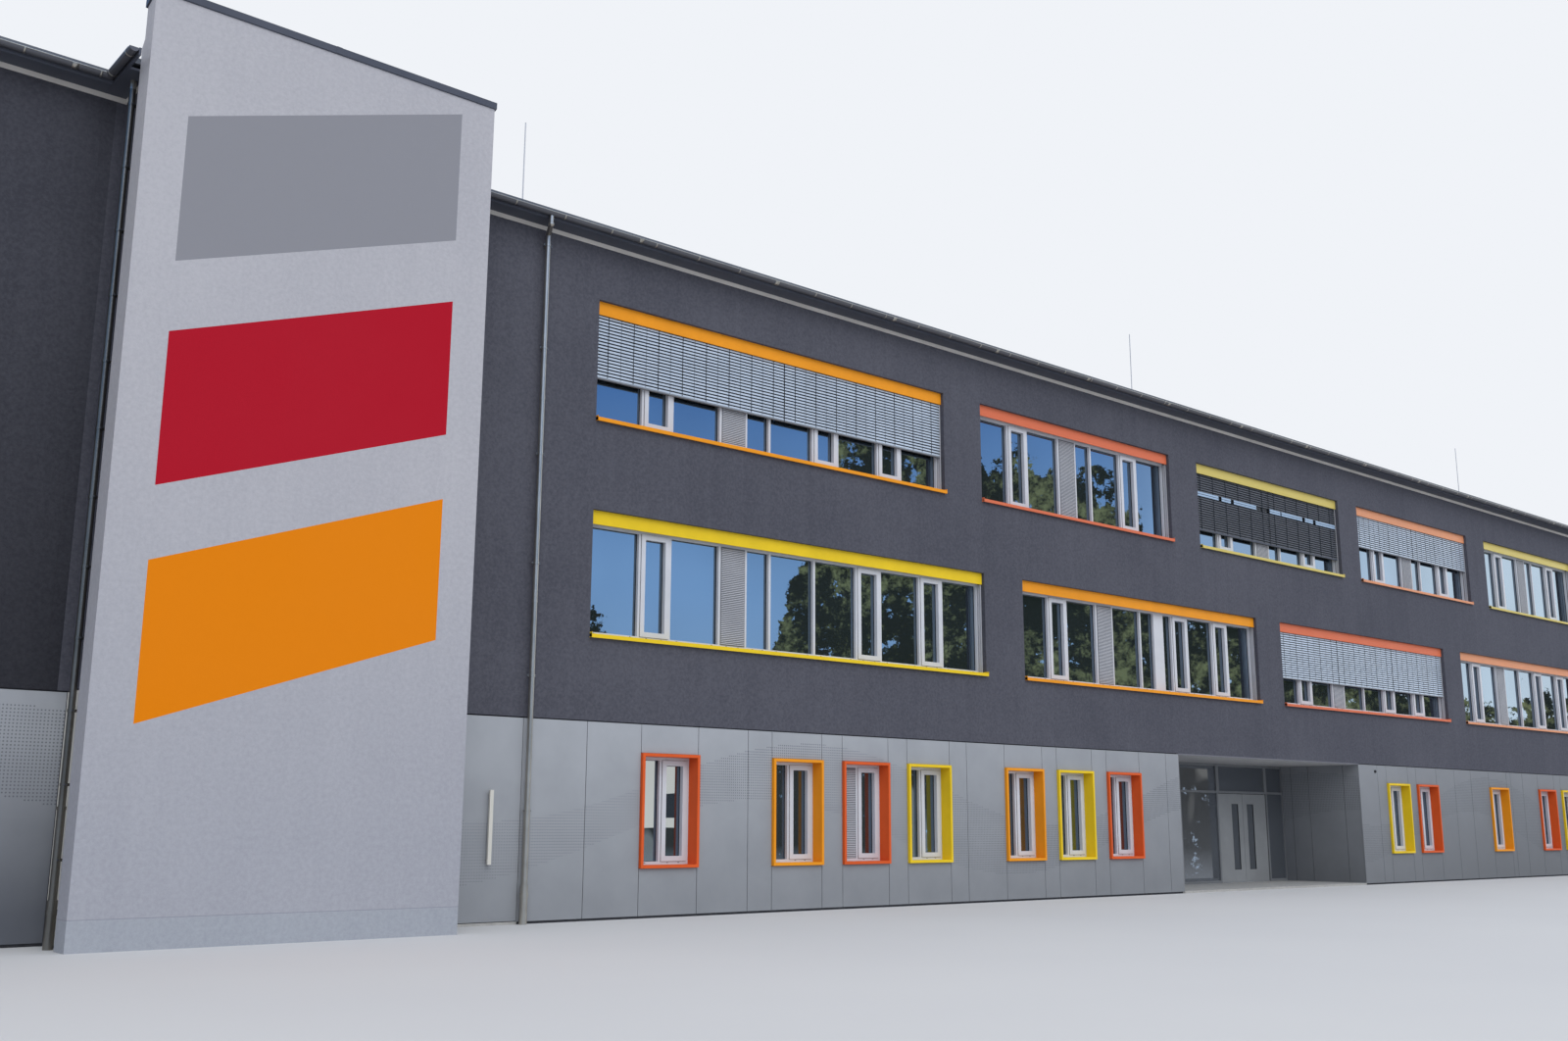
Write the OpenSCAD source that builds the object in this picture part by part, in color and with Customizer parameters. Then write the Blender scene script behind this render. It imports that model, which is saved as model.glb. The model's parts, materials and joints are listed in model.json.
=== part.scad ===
// School building of three storeys, modelled at half size.
// x runs along the front from its left end, y runs into the building from the front, z is up from the ground.

/* [Building] */
// Length along the front
length = 30000; // [29700:50:33000]
// Depth from the front to the back
depth = 7000; // [5600:50:9000]
// Thickness of the outer walls
wall_t = 200; // [160:5:260]
// Height from floor to floor
storey_h = 1800; // [1720:10:2000]
// Height of the ground floor above the ground
ground_t = 25; // [20:1:40]
// Thickness of the upper floors
floor_t = 125; // [80:5:160]
// Height of the walls above the second floor
top_wall_h = 1935; // [1880:5:2100]

/* [Ground storey] */
// Height of the cladding panels
panel_h = 1515; // [1450:5:1530]
// Gap between the ground and the panels
plinth_gap = 20; // [5:1:24]
// Thickness of the cladding panels
panel_t = 15; // [8:1:30]
// Width of the joints between the panels
panel_joint = 6; // [3:1:12]
// Height of the shadow joint over the panels
shadow_gap = 10; // [4:1:20]
// Width of a ground window
low_win_w = 585; // [520:5:620]
// Height of a ground window
low_win_h = 915; // [800:5:1000]
// Height of the ground windows above the ground
low_win_z = 390; // [300:5:420]
// Thickness of the coloured surrounds
surround_t = 25; // [10:1:40]
// How far the surrounds stand out
surround_out = 30; // [5:1:40]

/* [Ribbon windows] */
// Height of the sills above each floor
sill_h = 415; // [380:5:500]
// Height from the sill to the head band
win_h = 905; // [800:5:950]
// Height of the head bands
band_h = 115; // [80:5:160]
// How far the head bands lie behind the render
band_back = 35; // [15:1:45]
// Thickness of the folded metal sheet
sheet_t = 6; // [3:1:10]
// Thickness of the sills
sill_t = 30; // [15:1:50]
// How far the sills stand out
sill_out = 32; // [10:1:60]
// How far the window frames lie behind the wall face
frame_back = 95; // [85:1:105]
// Depth of the window frames
frame_t = 35; // [20:1:45]
// Width of the outer frame members
frame_w = 25; // [15:1:35]
// Width of the posts between the panes
post_w = 24; // [14:1:30]
// Width of the opening sashes' members
sash_w = 42; // [25:1:55]
// How far the sashes stand out of the frame
sash_out = 8; // [3:1:12]
// Thickness of the glass
glass_t = 6; // [4:1:12]
// Height from one blind slat to the next
slat_pitch = 29; // [22:1:40]
// Depth of the blind slats
slat_w = 26; // [16:1:30]

/* [Stair tower] */
// Place of the tower's left face
tower_x = 6175; // [6100:5:6300]
// Width of the tower
tower_w = 2225; // [2100:5:2300]
// How far the tower stands out of the front
tower_out = 465; // [300:5:600]
// How far the white slab passes the tower on the left
slab_left = 62; // [0:2:80]
// How far the white slab passes the tower on the right
slab_right = 210; // [200:5:240]
// Thickness of the white slab
slab_t = 200; // [180:5:260]
// Thickness of the white slab above its step
slab_top_t = 156; // [120:4:168]
// Height of the white slab
slab_h = 6050; // [5900:10:6400]
// Height of the metal coping
coping_h = 50; // [20:1:80]
// Overhang of the metal coping
coping_lip = 12; // [4:1:20]
// Fall of the metal coping to the back
coping_fall = 45; // [0:5:50]
// Overhang of the tower's eaves
tower_eave_out = 140; // [110:5:150]
// How far the tower's left eave runs past its front
verge_out = 225; // [150:5:260]

/* [Entrance] */
// Place of the recess's left side
recess_x = 18015; // [17900:5:18100]
// Width of the recess
recess_w = 4015; // [3900:5:4200]
// Depth of the recess
recess_d = 1125; // [900:5:1400]
// Thickness of the ceiling over the recess
recess_ceiling_t = 15; // [8:1:30]
// Thickness of the walls beside the recess
recess_wall_t = 200; // [120:5:260]
// Place of the doorway's left side, from the recess's left side
doorway_x = 2465; // [2300:5:2500]
// Width of the doorway
doorway_w = 1120; // [1000:5:1150]
// Height of the doorway above the floor
doorway_h = 1130; // [1080:5:1200]
// Width of the screen's posts and rails
screen_w = 30; // [20:1:40]
// Depth of the screen's posts and rails
screen_t = 40; // [36:1:60]
// Thickness of the door leaves
leaf_t = 25; // [16:1:30]
// Running gap round the door leaves
leaf_gap = 5.5; // [5.5:0.5:9]
// Width of the glass slots in the leaves
slot_w = 152; // [80:2:180]
// Height of the glass slots in the leaves
slot_h = 835; // [600:5:860]
// Height of the glass slots above the floor
slot_rise = 160; // [120:5:180]
// Distance of the slots from the middle of the doorway
slot_off = 178; // [140:1:220]
// Radius of the pivot pins
pin_r = 6; // [3:0.5:8]
// Length of the pivot pins in their sockets
pin_len = 12; // [8:1:14]

/* [Service door] */
// Place of the service door's left side
service_x = 8855; // [8700:5:8900]
// Width of the service doorway
service_w = 610; // [500:5:610]
// Length of the pull bar
pull_h = 545; // [300:5:700]
// Height of the pull bar above the ground
pull_z = 440; // [300:5:600]
// Width of the pull bar
pull_w = 30; // [15:1:45]

/* [Roof] */
// Overhang of the eaves
eave_out = 165; // [120:5:220]
// Thickness of the eave boards
board_t = 15; // [8:1:25]
// Height of the fascia boards
fascia_h = 50; // [46:1:80]
// Radius of the gutters
gutter_r = 30; // [22:1:38]
// Thickness of the gutters and the downpipes' clamps
zinc_t = 3; // [2:0.5:5]
// Pitch of the roof in degrees
roof_pitch = 5.5; // [3:0.5:6]
// Thickness of the roof
roof_t = 40; // [25:1:60]
// Height of the light strip under the eaves
trim_h = 35; // [15:1:50]
// How far the light strip stands out
trim_out = 8; // [4:1:15]
// Radius of the downpipes
pipe_r = 21; // [18:1:24]
// Height of the lightning rods
rod_h = 740; // [400:10:900]
// Radius of the lightning rods
rod_r = 5; // [4:0.5:8]

/* [Hidden] */

// Clearance between a pin and its socket, and the seam between neighbouring lengths of board or gutter
pin_play = 0.3;
seam = 1;

// Heights
panel_top = plinth_gap + panel_h;
render_z = panel_top + shadow_gap;
wall_top = ground_t + 2 * storey_h + top_wall_h;
eave_z = wall_top + fascia_h;
low_win_top = low_win_z + low_win_h;
band_gap = 5;
band_lip = 12;
band_d = frame_back - sash_out - band_back - band_gap;
function floor_z(level) = ground_t + level * storey_h;
function sill_z(level) = floor_z(level) + sill_h;
function open_z(level) = sill_z(level) - sill_t;
function band_z(level) = sill_z(level) + win_h;
function head_z(level) = band_z(level) + band_h;

// Ribbon windows: left side, right side, panes from left to right, colour, share lowered, parts, slats open
// Panes are P wide, H half, N narrow, C opening sash, L louvre panel and W blank member.
end_pier = 300;
function fits(right) = right <= length - wall_t - end_pier;
front_second = [for (w = [
    [505, 4670, "PCPCPHLPCP", "yellow", 0, 2, false],
    [10040, 14230, "PCPLHPCPCP", "amber", 0.62, 2, false],
    [14785, 18115, "PCPLHPCP", "coral", 0, 2, false],
    [18680, 21975, "PCPLHPCP", "yellow", 0.79, 2, true],
    [22470, 25720, "PCPLHPCP", "salmon", 0.5, 2, false],
    [26300, 29500, "PCPLHPCP", "yellow", 0, 2, false]]) if (fits(w[1])) w];
front_first = [for (w = [
    [505, 4670, "PCPCPHLPCP", "coral", 0, 2, false],
    [10040, 14790, "PCPLHPPCPCP", "yellow", 0, 2, false],
    [15385, 19790, "PCPLPHWNCPCP", "amber", 0, 2, false],
    [20330, 24670, "PCPLPPCPCP", "coral", 0.65, 3, false],
    [25195, 29500, "PCPLPPCPCP", "salmon", 0, 3, false]]) if (fits(w[1])) w];
// The back has one more window, where the tower stands on the front
back_second = [front_second[0], [5300, 9430, "PCPLHPCPCP", "coral", 0, 2, false],
    for (i = [1 : len(front_second) - 1]) front_second[i]];
back_first = [front_first[0], [5300, 9430, "PCPLHPCPCP", "amber", 0, 2, false],
    for (i = [1 : len(front_first) - 1]) front_first[i]];
end_win_w = 3300;
end_first = [[(depth - end_win_w) / 2, (depth + end_win_w) / 2, "PCPLHPCP", "amber", 0, 2, false]];
end_second = [[(depth - end_win_w) / 2, (depth + end_win_w) / 2, "PCPLHPCP", "yellow", 0, 2, false]];

// Ground windows: left side and colour
front_low = [for (w = [[485, "yellow"], [1320, "coral"], [2160, "amber"], [3550, "coral"], [10570, "coral"],
    [11965, "amber"], [12800, "coral"], [13635, "yellow"], [15025, "amber"], [15845, "yellow"],
    [16680, "coral"], [22735, "yellow"], [23550, "coral"], [25750, "amber"], [27400, "coral"],
    [28225, "yellow"]])
    if (fits(w[0] + low_win_w)) w];
// The ground window whose fixed light holds a louvre panel
louvred_low = 12800;
back_pitch = 1800;
back_margin = 1200;
back_colours = ["coral", "amber", "yellow"];
back_count = floor((length - 2 * back_margin - low_win_w) / back_pitch) + 1;
back_start = (length - (back_count - 1) * back_pitch - low_win_w) / 2;
back_low = [for (i = [0 : back_count - 1]) [back_start + i * back_pitch, back_colours[i % 3]]];
end_low = [for (i = [-1 : 1]) [depth / 2 + i * back_pitch - low_win_w / 2, back_colours[i + 1]]];
// Joints of the panels away from the windows
front_joints = [3015, 4665, 5420, 10045, 11695, 14465, 17765, 22500, 24675, 25180, 26475, 26870, 29350];
back_joints = [for (i = [0 : back_count]) back_start + low_win_w / 2 + (i - 0.5) * back_pitch];
end_joints = [for (i = [-1.5 : 1.5]) depth / 2 + i * back_pitch];
recess_joints = [225, 730, 985];

// Plan
low_face = panel_t;
tower_right = tower_x + tower_w;
recess_right = recess_x + recess_w - panel_t;
recess_side_l = recess_x - panel_t;
recess_side_r = recess_right + panel_t;
service_right = service_x + service_w;
fascia_face = eave_out;
gutter_axis = eave_out + gutter_r;
eave_reach = eave_out + 2 * gutter_r;
front_reach = tower_out + max(verge_out, slab_t + coping_lip);
origin_y = (depth + eave_reach - front_reach) / 2;
low_runs = [[low_face, tower_x], [service_right, recess_side_l], [recess_side_r, length - low_face]];
high_runs = [[0, tower_x], [tower_right, length]];
back_run = [low_face, length - low_face];
end_run = [wall_t, depth - wall_t];

// A box that fills a range in each direction
module block(x, y, z) {
    translate([x[0], y[0], z[0]])
        cube([x[1] - x[0], y[1] - y[0], z[1] - z[0]]);
}
// A flat shape in x and z, as thick as the range in y
module upright(y) {
    translate([0, y[1], 0])
        rotate([90, 0, 0])
            linear_extrude(y[1] - y[0])
                children();
}
module flat_box(x, z) {
    translate([x[0], z[0]])
        square([x[1] - x[0], z[1] - z[0]]);
}
// A profile in y and z, as long as the range in x
module profile(x) {
    translate([x[0], 0, 0])
        rotate([90, 0, 90])
            linear_extrude(x[1] - x[0])
                children();
}
module on_back() {
    translate([length, depth, 0])
        rotate([0, 0, 180])
            children();
}
module on_left() {
    translate([0, depth, 0])
        rotate([0, 0, -90])
            children();
}
module on_right() {
    translate([length, 0, 0])
        rotate([0, 0, 90])
            children();
}
module on_ends() {
    on_left() children();
    on_right() children();
}
module place() {
    translate([-length / 2, -origin_y, 0])
        children();
}

// Edges of the solid stretches of a run between its openings
function solid_edges(run, openings) = [
    run[0],
    for (w = openings) if (w[0] > run[0] && w[1] < run[1]) each [w[0], w[1]],
    run[1]];
function low_openings(windows) = [for (w = windows) [w[0], w[0] + low_win_w]];

// Floors
module ground_floor() {
    color("darkgray") place() difference() {
        block([wall_t, length - wall_t], [wall_t, depth - wall_t], [0, ground_t]);
        for (x = entrance_pivots)
            pin_socket(x, entrance_pivot_y, ground_t - pin_len);
    }
}
// Slabs in front of the ground floor: in the recess, in the tower and under the service door
module threshold_slabs() {
    color("darkgray") place() difference() {
        union() {
            block([recess_side_l, recess_side_r], [panel_t, wall_t], [0, ground_t]);
            block([recess_x, recess_right], [0, panel_t], [0, ground_t]);
            block([tower_x + wall_t, tower_right - wall_t], [-tower_out, wall_t], [0, ground_t]);
            block([service_x, service_right], [0, wall_t], [0, plinth_gap]);
        }
        pin_socket(service_pivot_x, leaf_t / 2, plinth_gap - pin_len);
    }
}
module upper_floor(level) {
    block([wall_t, length - wall_t], [wall_t, depth - wall_t], [floor_z(level) - floor_t, floor_z(level)]);
}
module first_floor() {
    color("lightgray") place() upper_floor(1);
}
module second_floor() {
    color("lightgray") place() upper_floor(2);
}
module top_ceiling() {
    color("lightgray") place() upper_floor(3);
}

// Walls of the ground storey, behind the panels
module low_strips(run) {
    block(run, [low_face, wall_t], [0, low_win_z]);
    block(run, [low_face, wall_t], [low_win_top, render_z]);
}
module low_piers(run, windows) {
    edges = solid_edges(run, low_openings(windows));
    for (i = [0 : 2 : len(edges) - 1])
        block([edges[i], edges[i + 1]], [low_face, wall_t], [low_win_z, low_win_top]);
}
module ground_strips() {
    color("dimgray") place() {
        for (run = low_runs) low_strips(run);
        on_back() low_strips(back_run);
    }
}
module ground_piers() {
    color("dimgray") place() {
        for (run = low_runs) low_piers(run, front_low);
        block([tower_right, service_x], [low_face, wall_t], [0, render_z]);
        on_back() low_piers(back_run, back_low);
    }
}
module end_ground_strips() {
    color("dimgray") place() on_ends() low_strips(end_run);
}
module end_ground_piers() {
    color("dimgray") place() on_ends() low_piers(end_run, end_low);
}

// Rendered walls of the two upper storeys
module high_strips(run) {
    block(run, [0, wall_t], [render_z, open_z(1)]);
    block(run, [0, wall_t], [head_z(1), open_z(2)]);
    block(run, [0, wall_t], [head_z(2), wall_top]);
}
module high_piers(run, first, second) {
    for (row = [[1, first], [2, second]]) {
        edges = solid_edges(run, row[1]);
        for (i = [0 : 2 : len(edges) - 1])
            block([edges[i], edges[i + 1]], [0, wall_t], [open_z(row[0]), head_z(row[0])]);
    }
}
module render_strips() {
    color([0.29, 0.29, 0.33]) place() {
        difference() {
            for (run = high_runs) high_strips(run);
            pin_socket(service_pivot_x, leaf_t / 2, render_z);
        }
        on_back() high_strips([0, length]);
    }
}
module render_piers() {
    color([0.29, 0.29, 0.33]) place() {
        for (run = high_runs) high_piers(run, front_first, front_second);
        on_back() high_piers([0, length], back_first, back_second);
    }
}
module end_render_strips() {
    color([0.29, 0.29, 0.33]) place() on_ends() high_strips(end_run);
}
module end_render_piers() {
    color([0.29, 0.29, 0.33]) place() on_ends() high_piers(end_run, end_first, end_second);
}

// Stair tower
// A side wall of the tower, set back behind its panels in the ground storey
module tower_cheek(outer, inner, low) {
    block([min(outer, inner), max(outer, inner)], [-tower_out, wall_t], [render_z, wall_top]);
    block([min(outer, inner), max(outer, inner)], [low_face, wall_t], [0, render_z]);
    block([min(low, inner), max(low, inner)], [-tower_out, low_face], [0, render_z]);
}
module tower_side_walls() {
    color([0.29, 0.29, 0.33]) place() {
        tower_cheek(tower_x, tower_x + wall_t, tower_x + panel_t);
        tower_cheek(tower_right, tower_right - wall_t, tower_right - panel_t);
    }
}
// The slab steps back above the tower's roof, and its top falls to the back with the coping
slab_x = [tower_x - slab_left, tower_right + slab_right];
slab_y = [-tower_out - slab_t, -tower_out];
slab_top_y = [slab_y[0], slab_y[0] + slab_top_t];
slab_step_h = 45;
slab_step_z = min(eave_z + 120, slab_h - coping_fall - 2 * slab_step_h);
function coping_z(y) = slab_h - coping_fall * (y - slab_top_y[0]) / slab_top_t;
module tower_slab() {
    color([0.86, 0.86, 0.88]) place()
        profile(slab_x)
            polygon([[slab_y[0], 0], [slab_y[1], 0], [slab_y[1], slab_step_z],
                [slab_top_y[1], slab_step_z + slab_step_h], [slab_top_y[1], coping_z(slab_top_y[1])],
                [slab_top_y[0], slab_h]]);
}
// The coping's underside runs through the slab's own top corners, so that it lies flat on the slab
module tower_coping() {
    y = slab_top_y + [-coping_lip, coping_lip];
    color([0.25, 0.26, 0.3]) place()
        profile(slab_x + [-coping_lip, coping_lip])
            polygon([[y[0], coping_z(y[0])], [slab_top_y[0], slab_h],
                [slab_top_y[1], coping_z(slab_top_y[1])], [y[1], coping_z(y[1])],
                [y[1], coping_z(y[1]) + coping_h], [y[0], coping_z(y[0]) + coping_h]]);
}
tower_eave_x = [tower_x - tower_eave_out, tower_right + tower_eave_out];
module tower_roof() {
    color([0.4, 0.42, 0.45]) place()
        block(tower_eave_x, [-tower_out, -eave_out - roof_over], [eave_z, eave_z + roof_t]);
}

// Entrance recess
recess_y = [recess_d, recess_d + screen_t];
module recess_walls() {
    color("dimgray") place() for (x = [[recess_side_l - recess_wall_t, recess_side_l],
                                       [recess_side_r, recess_side_r + recess_wall_t]])
        block(x, [wall_t, recess_y[1]], [ground_t, floor_z(1) - floor_t]);
}
module recess_ceiling() {
    color([0.75, 0.76, 0.78]) place() {
        block([recess_x, recess_right], [0, recess_y[0]], [screen_top, render_z]);
        block([recess_side_l, recess_side_r], recess_y, [screen_top, floor_z(1) - floor_t]);
    }
}
screen_top = render_z - recess_ceiling_t;
doorway = [recess_x + doorway_x, recess_x + doorway_x + doorway_w];
doorway_top = ground_t + doorway_h;
head_top = doorway_top + screen_w;
// A frame with upright posts and one cross rail, round a run of glass fields
module screen_frame(x, fields, bottom, rail) {
    field_w = (x[1] - x[0] - screen_w) / fields;
    upright(recess_y) difference() {
        flat_box(x, [bottom, screen_top]);
        for (i = [0 : fields - 1]) {
            field = [x[0] + i * field_w + screen_w, x[0] + (i + 1) * field_w];
            flat_box(field, [bottom + screen_w, rail]);
            flat_box(field, [rail + screen_w, screen_top - screen_w]);
        }
    }
}
side_fields = 3;
module entrance_side_frames() {
    color("silver") place() {
        screen_frame([recess_side_l, doorway[0]], side_fields, ground_t, doorway_top);
        screen_frame([doorway[1], recess_side_r], 1, ground_t, doorway_top);
    }
}
module entrance_head_frame() {
    color("silver") place() difference() {
        upright(recess_y) difference() {
            flat_box(doorway, [doorway_top, screen_top]);
            flat_box([doorway[0] + screen_w, doorway[1] - screen_w], [head_top, screen_top - screen_w]);
        }
        for (x = entrance_pivots)
            pin_socket(x, entrance_pivot_y, doorway_top);
    }
}
// Panes that fill the fields of a screen frame, in the middle of its depth
module screen_panes(x, fields, bottom, rail) {
    field_w = (x[1] - x[0] - screen_w) / fields;
    middle = (recess_y[0] + recess_y[1]) / 2;
    for (i = [0 : fields - 1], z = [[bottom + screen_w, rail], [rail + screen_w, screen_top - screen_w]])
        block([x[0] + i * field_w + screen_w, x[0] + (i + 1) * field_w],
            [middle - glass_t / 2, middle + glass_t / 2], z);
}
module entrance_glass() {
    color([0.5, 0.6, 0.7, 0.5]) place() {
        screen_panes([recess_side_l, doorway[0]], side_fields, ground_t, doorway_top);
        screen_panes([doorway[1], recess_side_r], 1, ground_t, doorway_top);
        block([doorway[0] + screen_w, doorway[1] - screen_w],
            [recess_y[0] + screen_t / 2 - glass_t / 2, recess_y[0] + screen_t / 2 + glass_t / 2],
            [head_top, screen_top - screen_w]);
    }
}

// Door leaves with a round heel that turns on pins at the top and bottom
entrance_pivot_y = (recess_y[0] + recess_y[1]) / 2;
heel = leaf_gap + leaf_t / 2;
entrance_pivots = [doorway[0] + heel, doorway[1] - heel];
service_pivot_x = service_x + heel;
doorway_middle = (doorway[0] + doorway[1]) / 2;
module pin_socket(x, y, z) {
    translate([x, y, z])
        cylinder(r = pin_r + pin_play, h = 2 * pin_len, $fn = 48);
}
// A leaf from its pivot at x to its free edge, with pins that reach from low to high
module leaf_body(x, edge, y, z, low, high) {
    translate([x, y, z[0]])
        cylinder(r = leaf_t / 2, h = z[1] - z[0], $fn = 64);
    block([min(x, edge), max(x, edge)], [y - leaf_t / 2, y + leaf_t / 2], z);
    translate([x, y, low])
        cylinder(r = pin_r, h = high - low, $fn = 48);
}
leaf_z = [ground_t + leaf_gap, doorway_top - leaf_gap];
slot_z = [ground_t + slot_rise, ground_t + slot_rise + slot_h];
function slot_x(side) = let (middle = doorway_middle + side * slot_off) [middle - slot_w / 2, middle + slot_w / 2];
module entrance_leaf(side) {
    pivot = side < 0 ? entrance_pivots[0] : entrance_pivots[1];
    difference() {
        leaf_body(pivot, doorway_middle + side * leaf_gap / 2, entrance_pivot_y, leaf_z,
            ground_t - pin_len + pin_play, doorway_top + pin_len - pin_play);
        block(slot_x(side), recess_y, slot_z);
    }
}
module leaf_glass(side) {
    block(slot_x(side), [entrance_pivot_y - glass_t / 2, entrance_pivot_y + glass_t / 2], slot_z);
}
module entrance_leaf_left() {
    color([0.7, 0.7, 0.72]) place() entrance_leaf(-1);
}
module entrance_leaf_right() {
    color([0.7, 0.7, 0.72]) place() entrance_leaf(1);
}
module leaf_glass_left() {
    color([0.2, 0.22, 0.25]) place() leaf_glass(-1);
}
module leaf_glass_right() {
    color([0.2, 0.22, 0.25]) place() leaf_glass(1);
}
pull_stand = 25;
pull_t = 18;
pull_foot = 20;
module service_door() {
    pull_x = service_x + 0.55 * service_w;
    color([0.58, 0.6, 0.64]) place() {
        leaf_body(service_pivot_x, service_right - leaf_gap, leaf_t / 2, [plinth_gap + leaf_gap, panel_top],
            plinth_gap - pin_len + pin_play, render_z + pin_len - pin_play);
        block([pull_x - pull_w / 2, pull_x + pull_w / 2], [-pull_stand - pull_t, -pull_stand],
            [pull_z, pull_z + pull_h]);
        for (z = [pull_z + pull_foot, pull_z + pull_h - 2 * pull_foot])
            block([pull_x - pull_w / 4, pull_x + pull_w / 4], [-pull_stand, 0], [z, z + pull_foot]);
    }
}

// Cladding panels with open joints
module panel(x, z) {
    block([x[0] + panel_joint / 2, x[1] - panel_joint / 2], [0, panel_t], z);
}
// Panels from a to b: two where a window is, else one of the full height
module panel_bay(a, b, windows) {
    is_window = len([for (w = windows) if (abs(w[0] - a) < 1) 1]) > 0;
    if (is_window) {
        panel([a, b], [plinth_gap, low_win_z - panel_joint / 2]);
        panel([a, b], [low_win_top + panel_joint / 2, panel_top]);
    } else
        panel([a, b], [plinth_gap, panel_top]);
}
module panel_run(run, windows, joints) {
    edges = solid_edges(run, low_openings(windows));
    for (i = [0 : len(edges) - 2]) {
        cuts = [edges[i],
            for (j = joints) if (j > edges[i] && j < edges[i + 1] && i % 2 == 0) j,
            edges[i + 1]];
        for (k = [0 : len(cuts) - 2])
            panel_bay(cuts[k], cuts[k + 1], windows);
    }
}
module facade_panels() {
    recess_cuts = [panel_t, for (j = recess_joints) j, recess_d];
    color([0.6, 0.62, 0.66]) place() {
        panel_run([panel_t, tower_x], front_low, front_joints);
        panel_run([service_right - panel_joint / 2, recess_x], front_low, front_joints);
        panel_run([recess_right, length - panel_t], front_low, front_joints);
        panel([tower_right, service_x + panel_joint / 2], [plinth_gap, panel_top]);
        on_back() panel_run([panel_t, length - panel_t], back_low, back_joints);
        on_ends() panel_run([0, depth], end_low, end_joints);
        for (k = [0 : len(recess_cuts) - 2], x = [recess_side_l, recess_right])
            block([x, x + panel_t], [recess_cuts[k] + panel_joint / 2, recess_cuts[k + 1] - panel_joint / 2],
                [ground_t, panel_top]);
        for (x = [tower_x, tower_right - panel_t])
            block([x, x + panel_t], [-tower_out, -panel_joint], [plinth_gap, panel_top]);
    }
}

// Panes of the ribbon windows
function share(kind) = kind == "P" ? 1.06 : kind == "C" ? 0.62 : kind == "L" ? 0.58
    : kind == "H" ? 0.55 : kind == "N" ? 0.37 : 0.33;
function share_before(panes, i) = i == 0 ? 0 : share_before(panes, i - 1) + share(panes[i - 1]);
function pane_x(w, i) = w[0] + (w[1] - w[0]) * share_before(w[2], i) / share_before(w[2], len(w[2]));
// Clear width between the posts of one pane
function clear_x(w, i) = [
    i == 0 ? w[0] + frame_w : pane_x(w, i) + post_w / 2,
    i == len(w[2]) - 1 ? w[1] - frame_w : pane_x(w, i + 1) - post_w / 2];
function clear_z(level) = [sill_z(level) + frame_w, band_z(level) - frame_w / 2];
frame_y = [frame_back, frame_back + frame_t];
module ribbon_frame(w, level) {
    upright(frame_y) difference() {
        flat_box([w[0], w[1]], [open_z(level), head_z(level)]);
        for (i = [0 : len(w[2]) - 1])
            if (w[2][i] != "W") flat_box(clear_x(w, i), clear_z(level));
    }
    for (i = [0 : len(w[2]) - 1])
        if (w[2][i] == "C") sash(clear_x(w, i), clear_z(level));
}
// The frame of an opening sash, which stands out of the fixed frame
module sash(x, z) {
    upright([frame_y[0] - sash_out, frame_y[1]]) difference() {
        flat_box(x, z);
        flat_box(x + [sash_w, -sash_w], z + [sash_w, -sash_w]);
    }
}
module on_all_ribbons() {
    for (w = front_first) let ($w = w, $level = 1) children();
    for (w = front_second) let ($w = w, $level = 2) children();
    on_back() for (w = back_first) let ($w = w, $level = 1) children();
    on_back() for (w = back_second) let ($w = w, $level = 2) children();
    on_ends() for (w = end_first) let ($w = w, $level = 1) children();
    on_ends() for (w = end_second) let ($w = w, $level = 2) children();
}
module louvre_panels() {
    color([0.72, 0.73, 0.75]) place() {
        on_all_ribbons()
            for (i = [0 : len($w[2]) - 1])
                if ($w[2][i] == "L") block(clear_x($w, i), frame_y - [sash_out / 2, 0], clear_z($level));
        block(low_light_x(louvred_low), frame_y, low_clear_z);
    }
}

// Ground windows: a fixed light on the left and a sash on the right
module on_all_low_windows() {
    for (w = front_low) let ($x = w[0], $colour = w[1]) children();
    on_back() for (w = back_low) let ($x = w[0], $colour = w[1]) children();
    on_ends() for (w = end_low) let ($x = w[0], $colour = w[1]) children();
}
low_post_share = 0.44;
low_border = surround_t + frame_w;
low_clear_z = [low_win_z + low_border, low_win_top - low_border];
// Clear widths of the fixed light and of the sash's opening
function low_light_x(x) = [x + low_border, x + low_win_w * low_post_share];
function low_sash_x(x) = [x + low_win_w * low_post_share + post_w, x + low_win_w - low_border];
module low_frame(x) {
    upright(frame_y) difference() {
        flat_box([x, x + low_win_w], [low_win_z, low_win_top]);
        flat_box(low_light_x(x), low_clear_z);
        flat_box(low_sash_x(x), low_clear_z);
    }
    sash(low_sash_x(x), low_clear_z);
}
module window_frames() {
    color([0.82, 0.83, 0.85]) place() {
        on_all_ribbons() ribbon_frame($w, $level);
        on_all_low_windows() low_frame($x);
    }
}
// One sheet of glass behind each window's frame
glass_y = [frame_y[1], frame_y[1] + glass_t];
module window_glass() {
    color([0.3, 0.4, 0.5, 0.5]) place() {
        on_all_ribbons() block([$w[0], $w[1]], glass_y, [open_z($level), head_z($level)]);
        on_all_low_windows() block([$x, $x + low_win_w], glass_y, [low_win_z, low_win_top]);
    }
}

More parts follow.
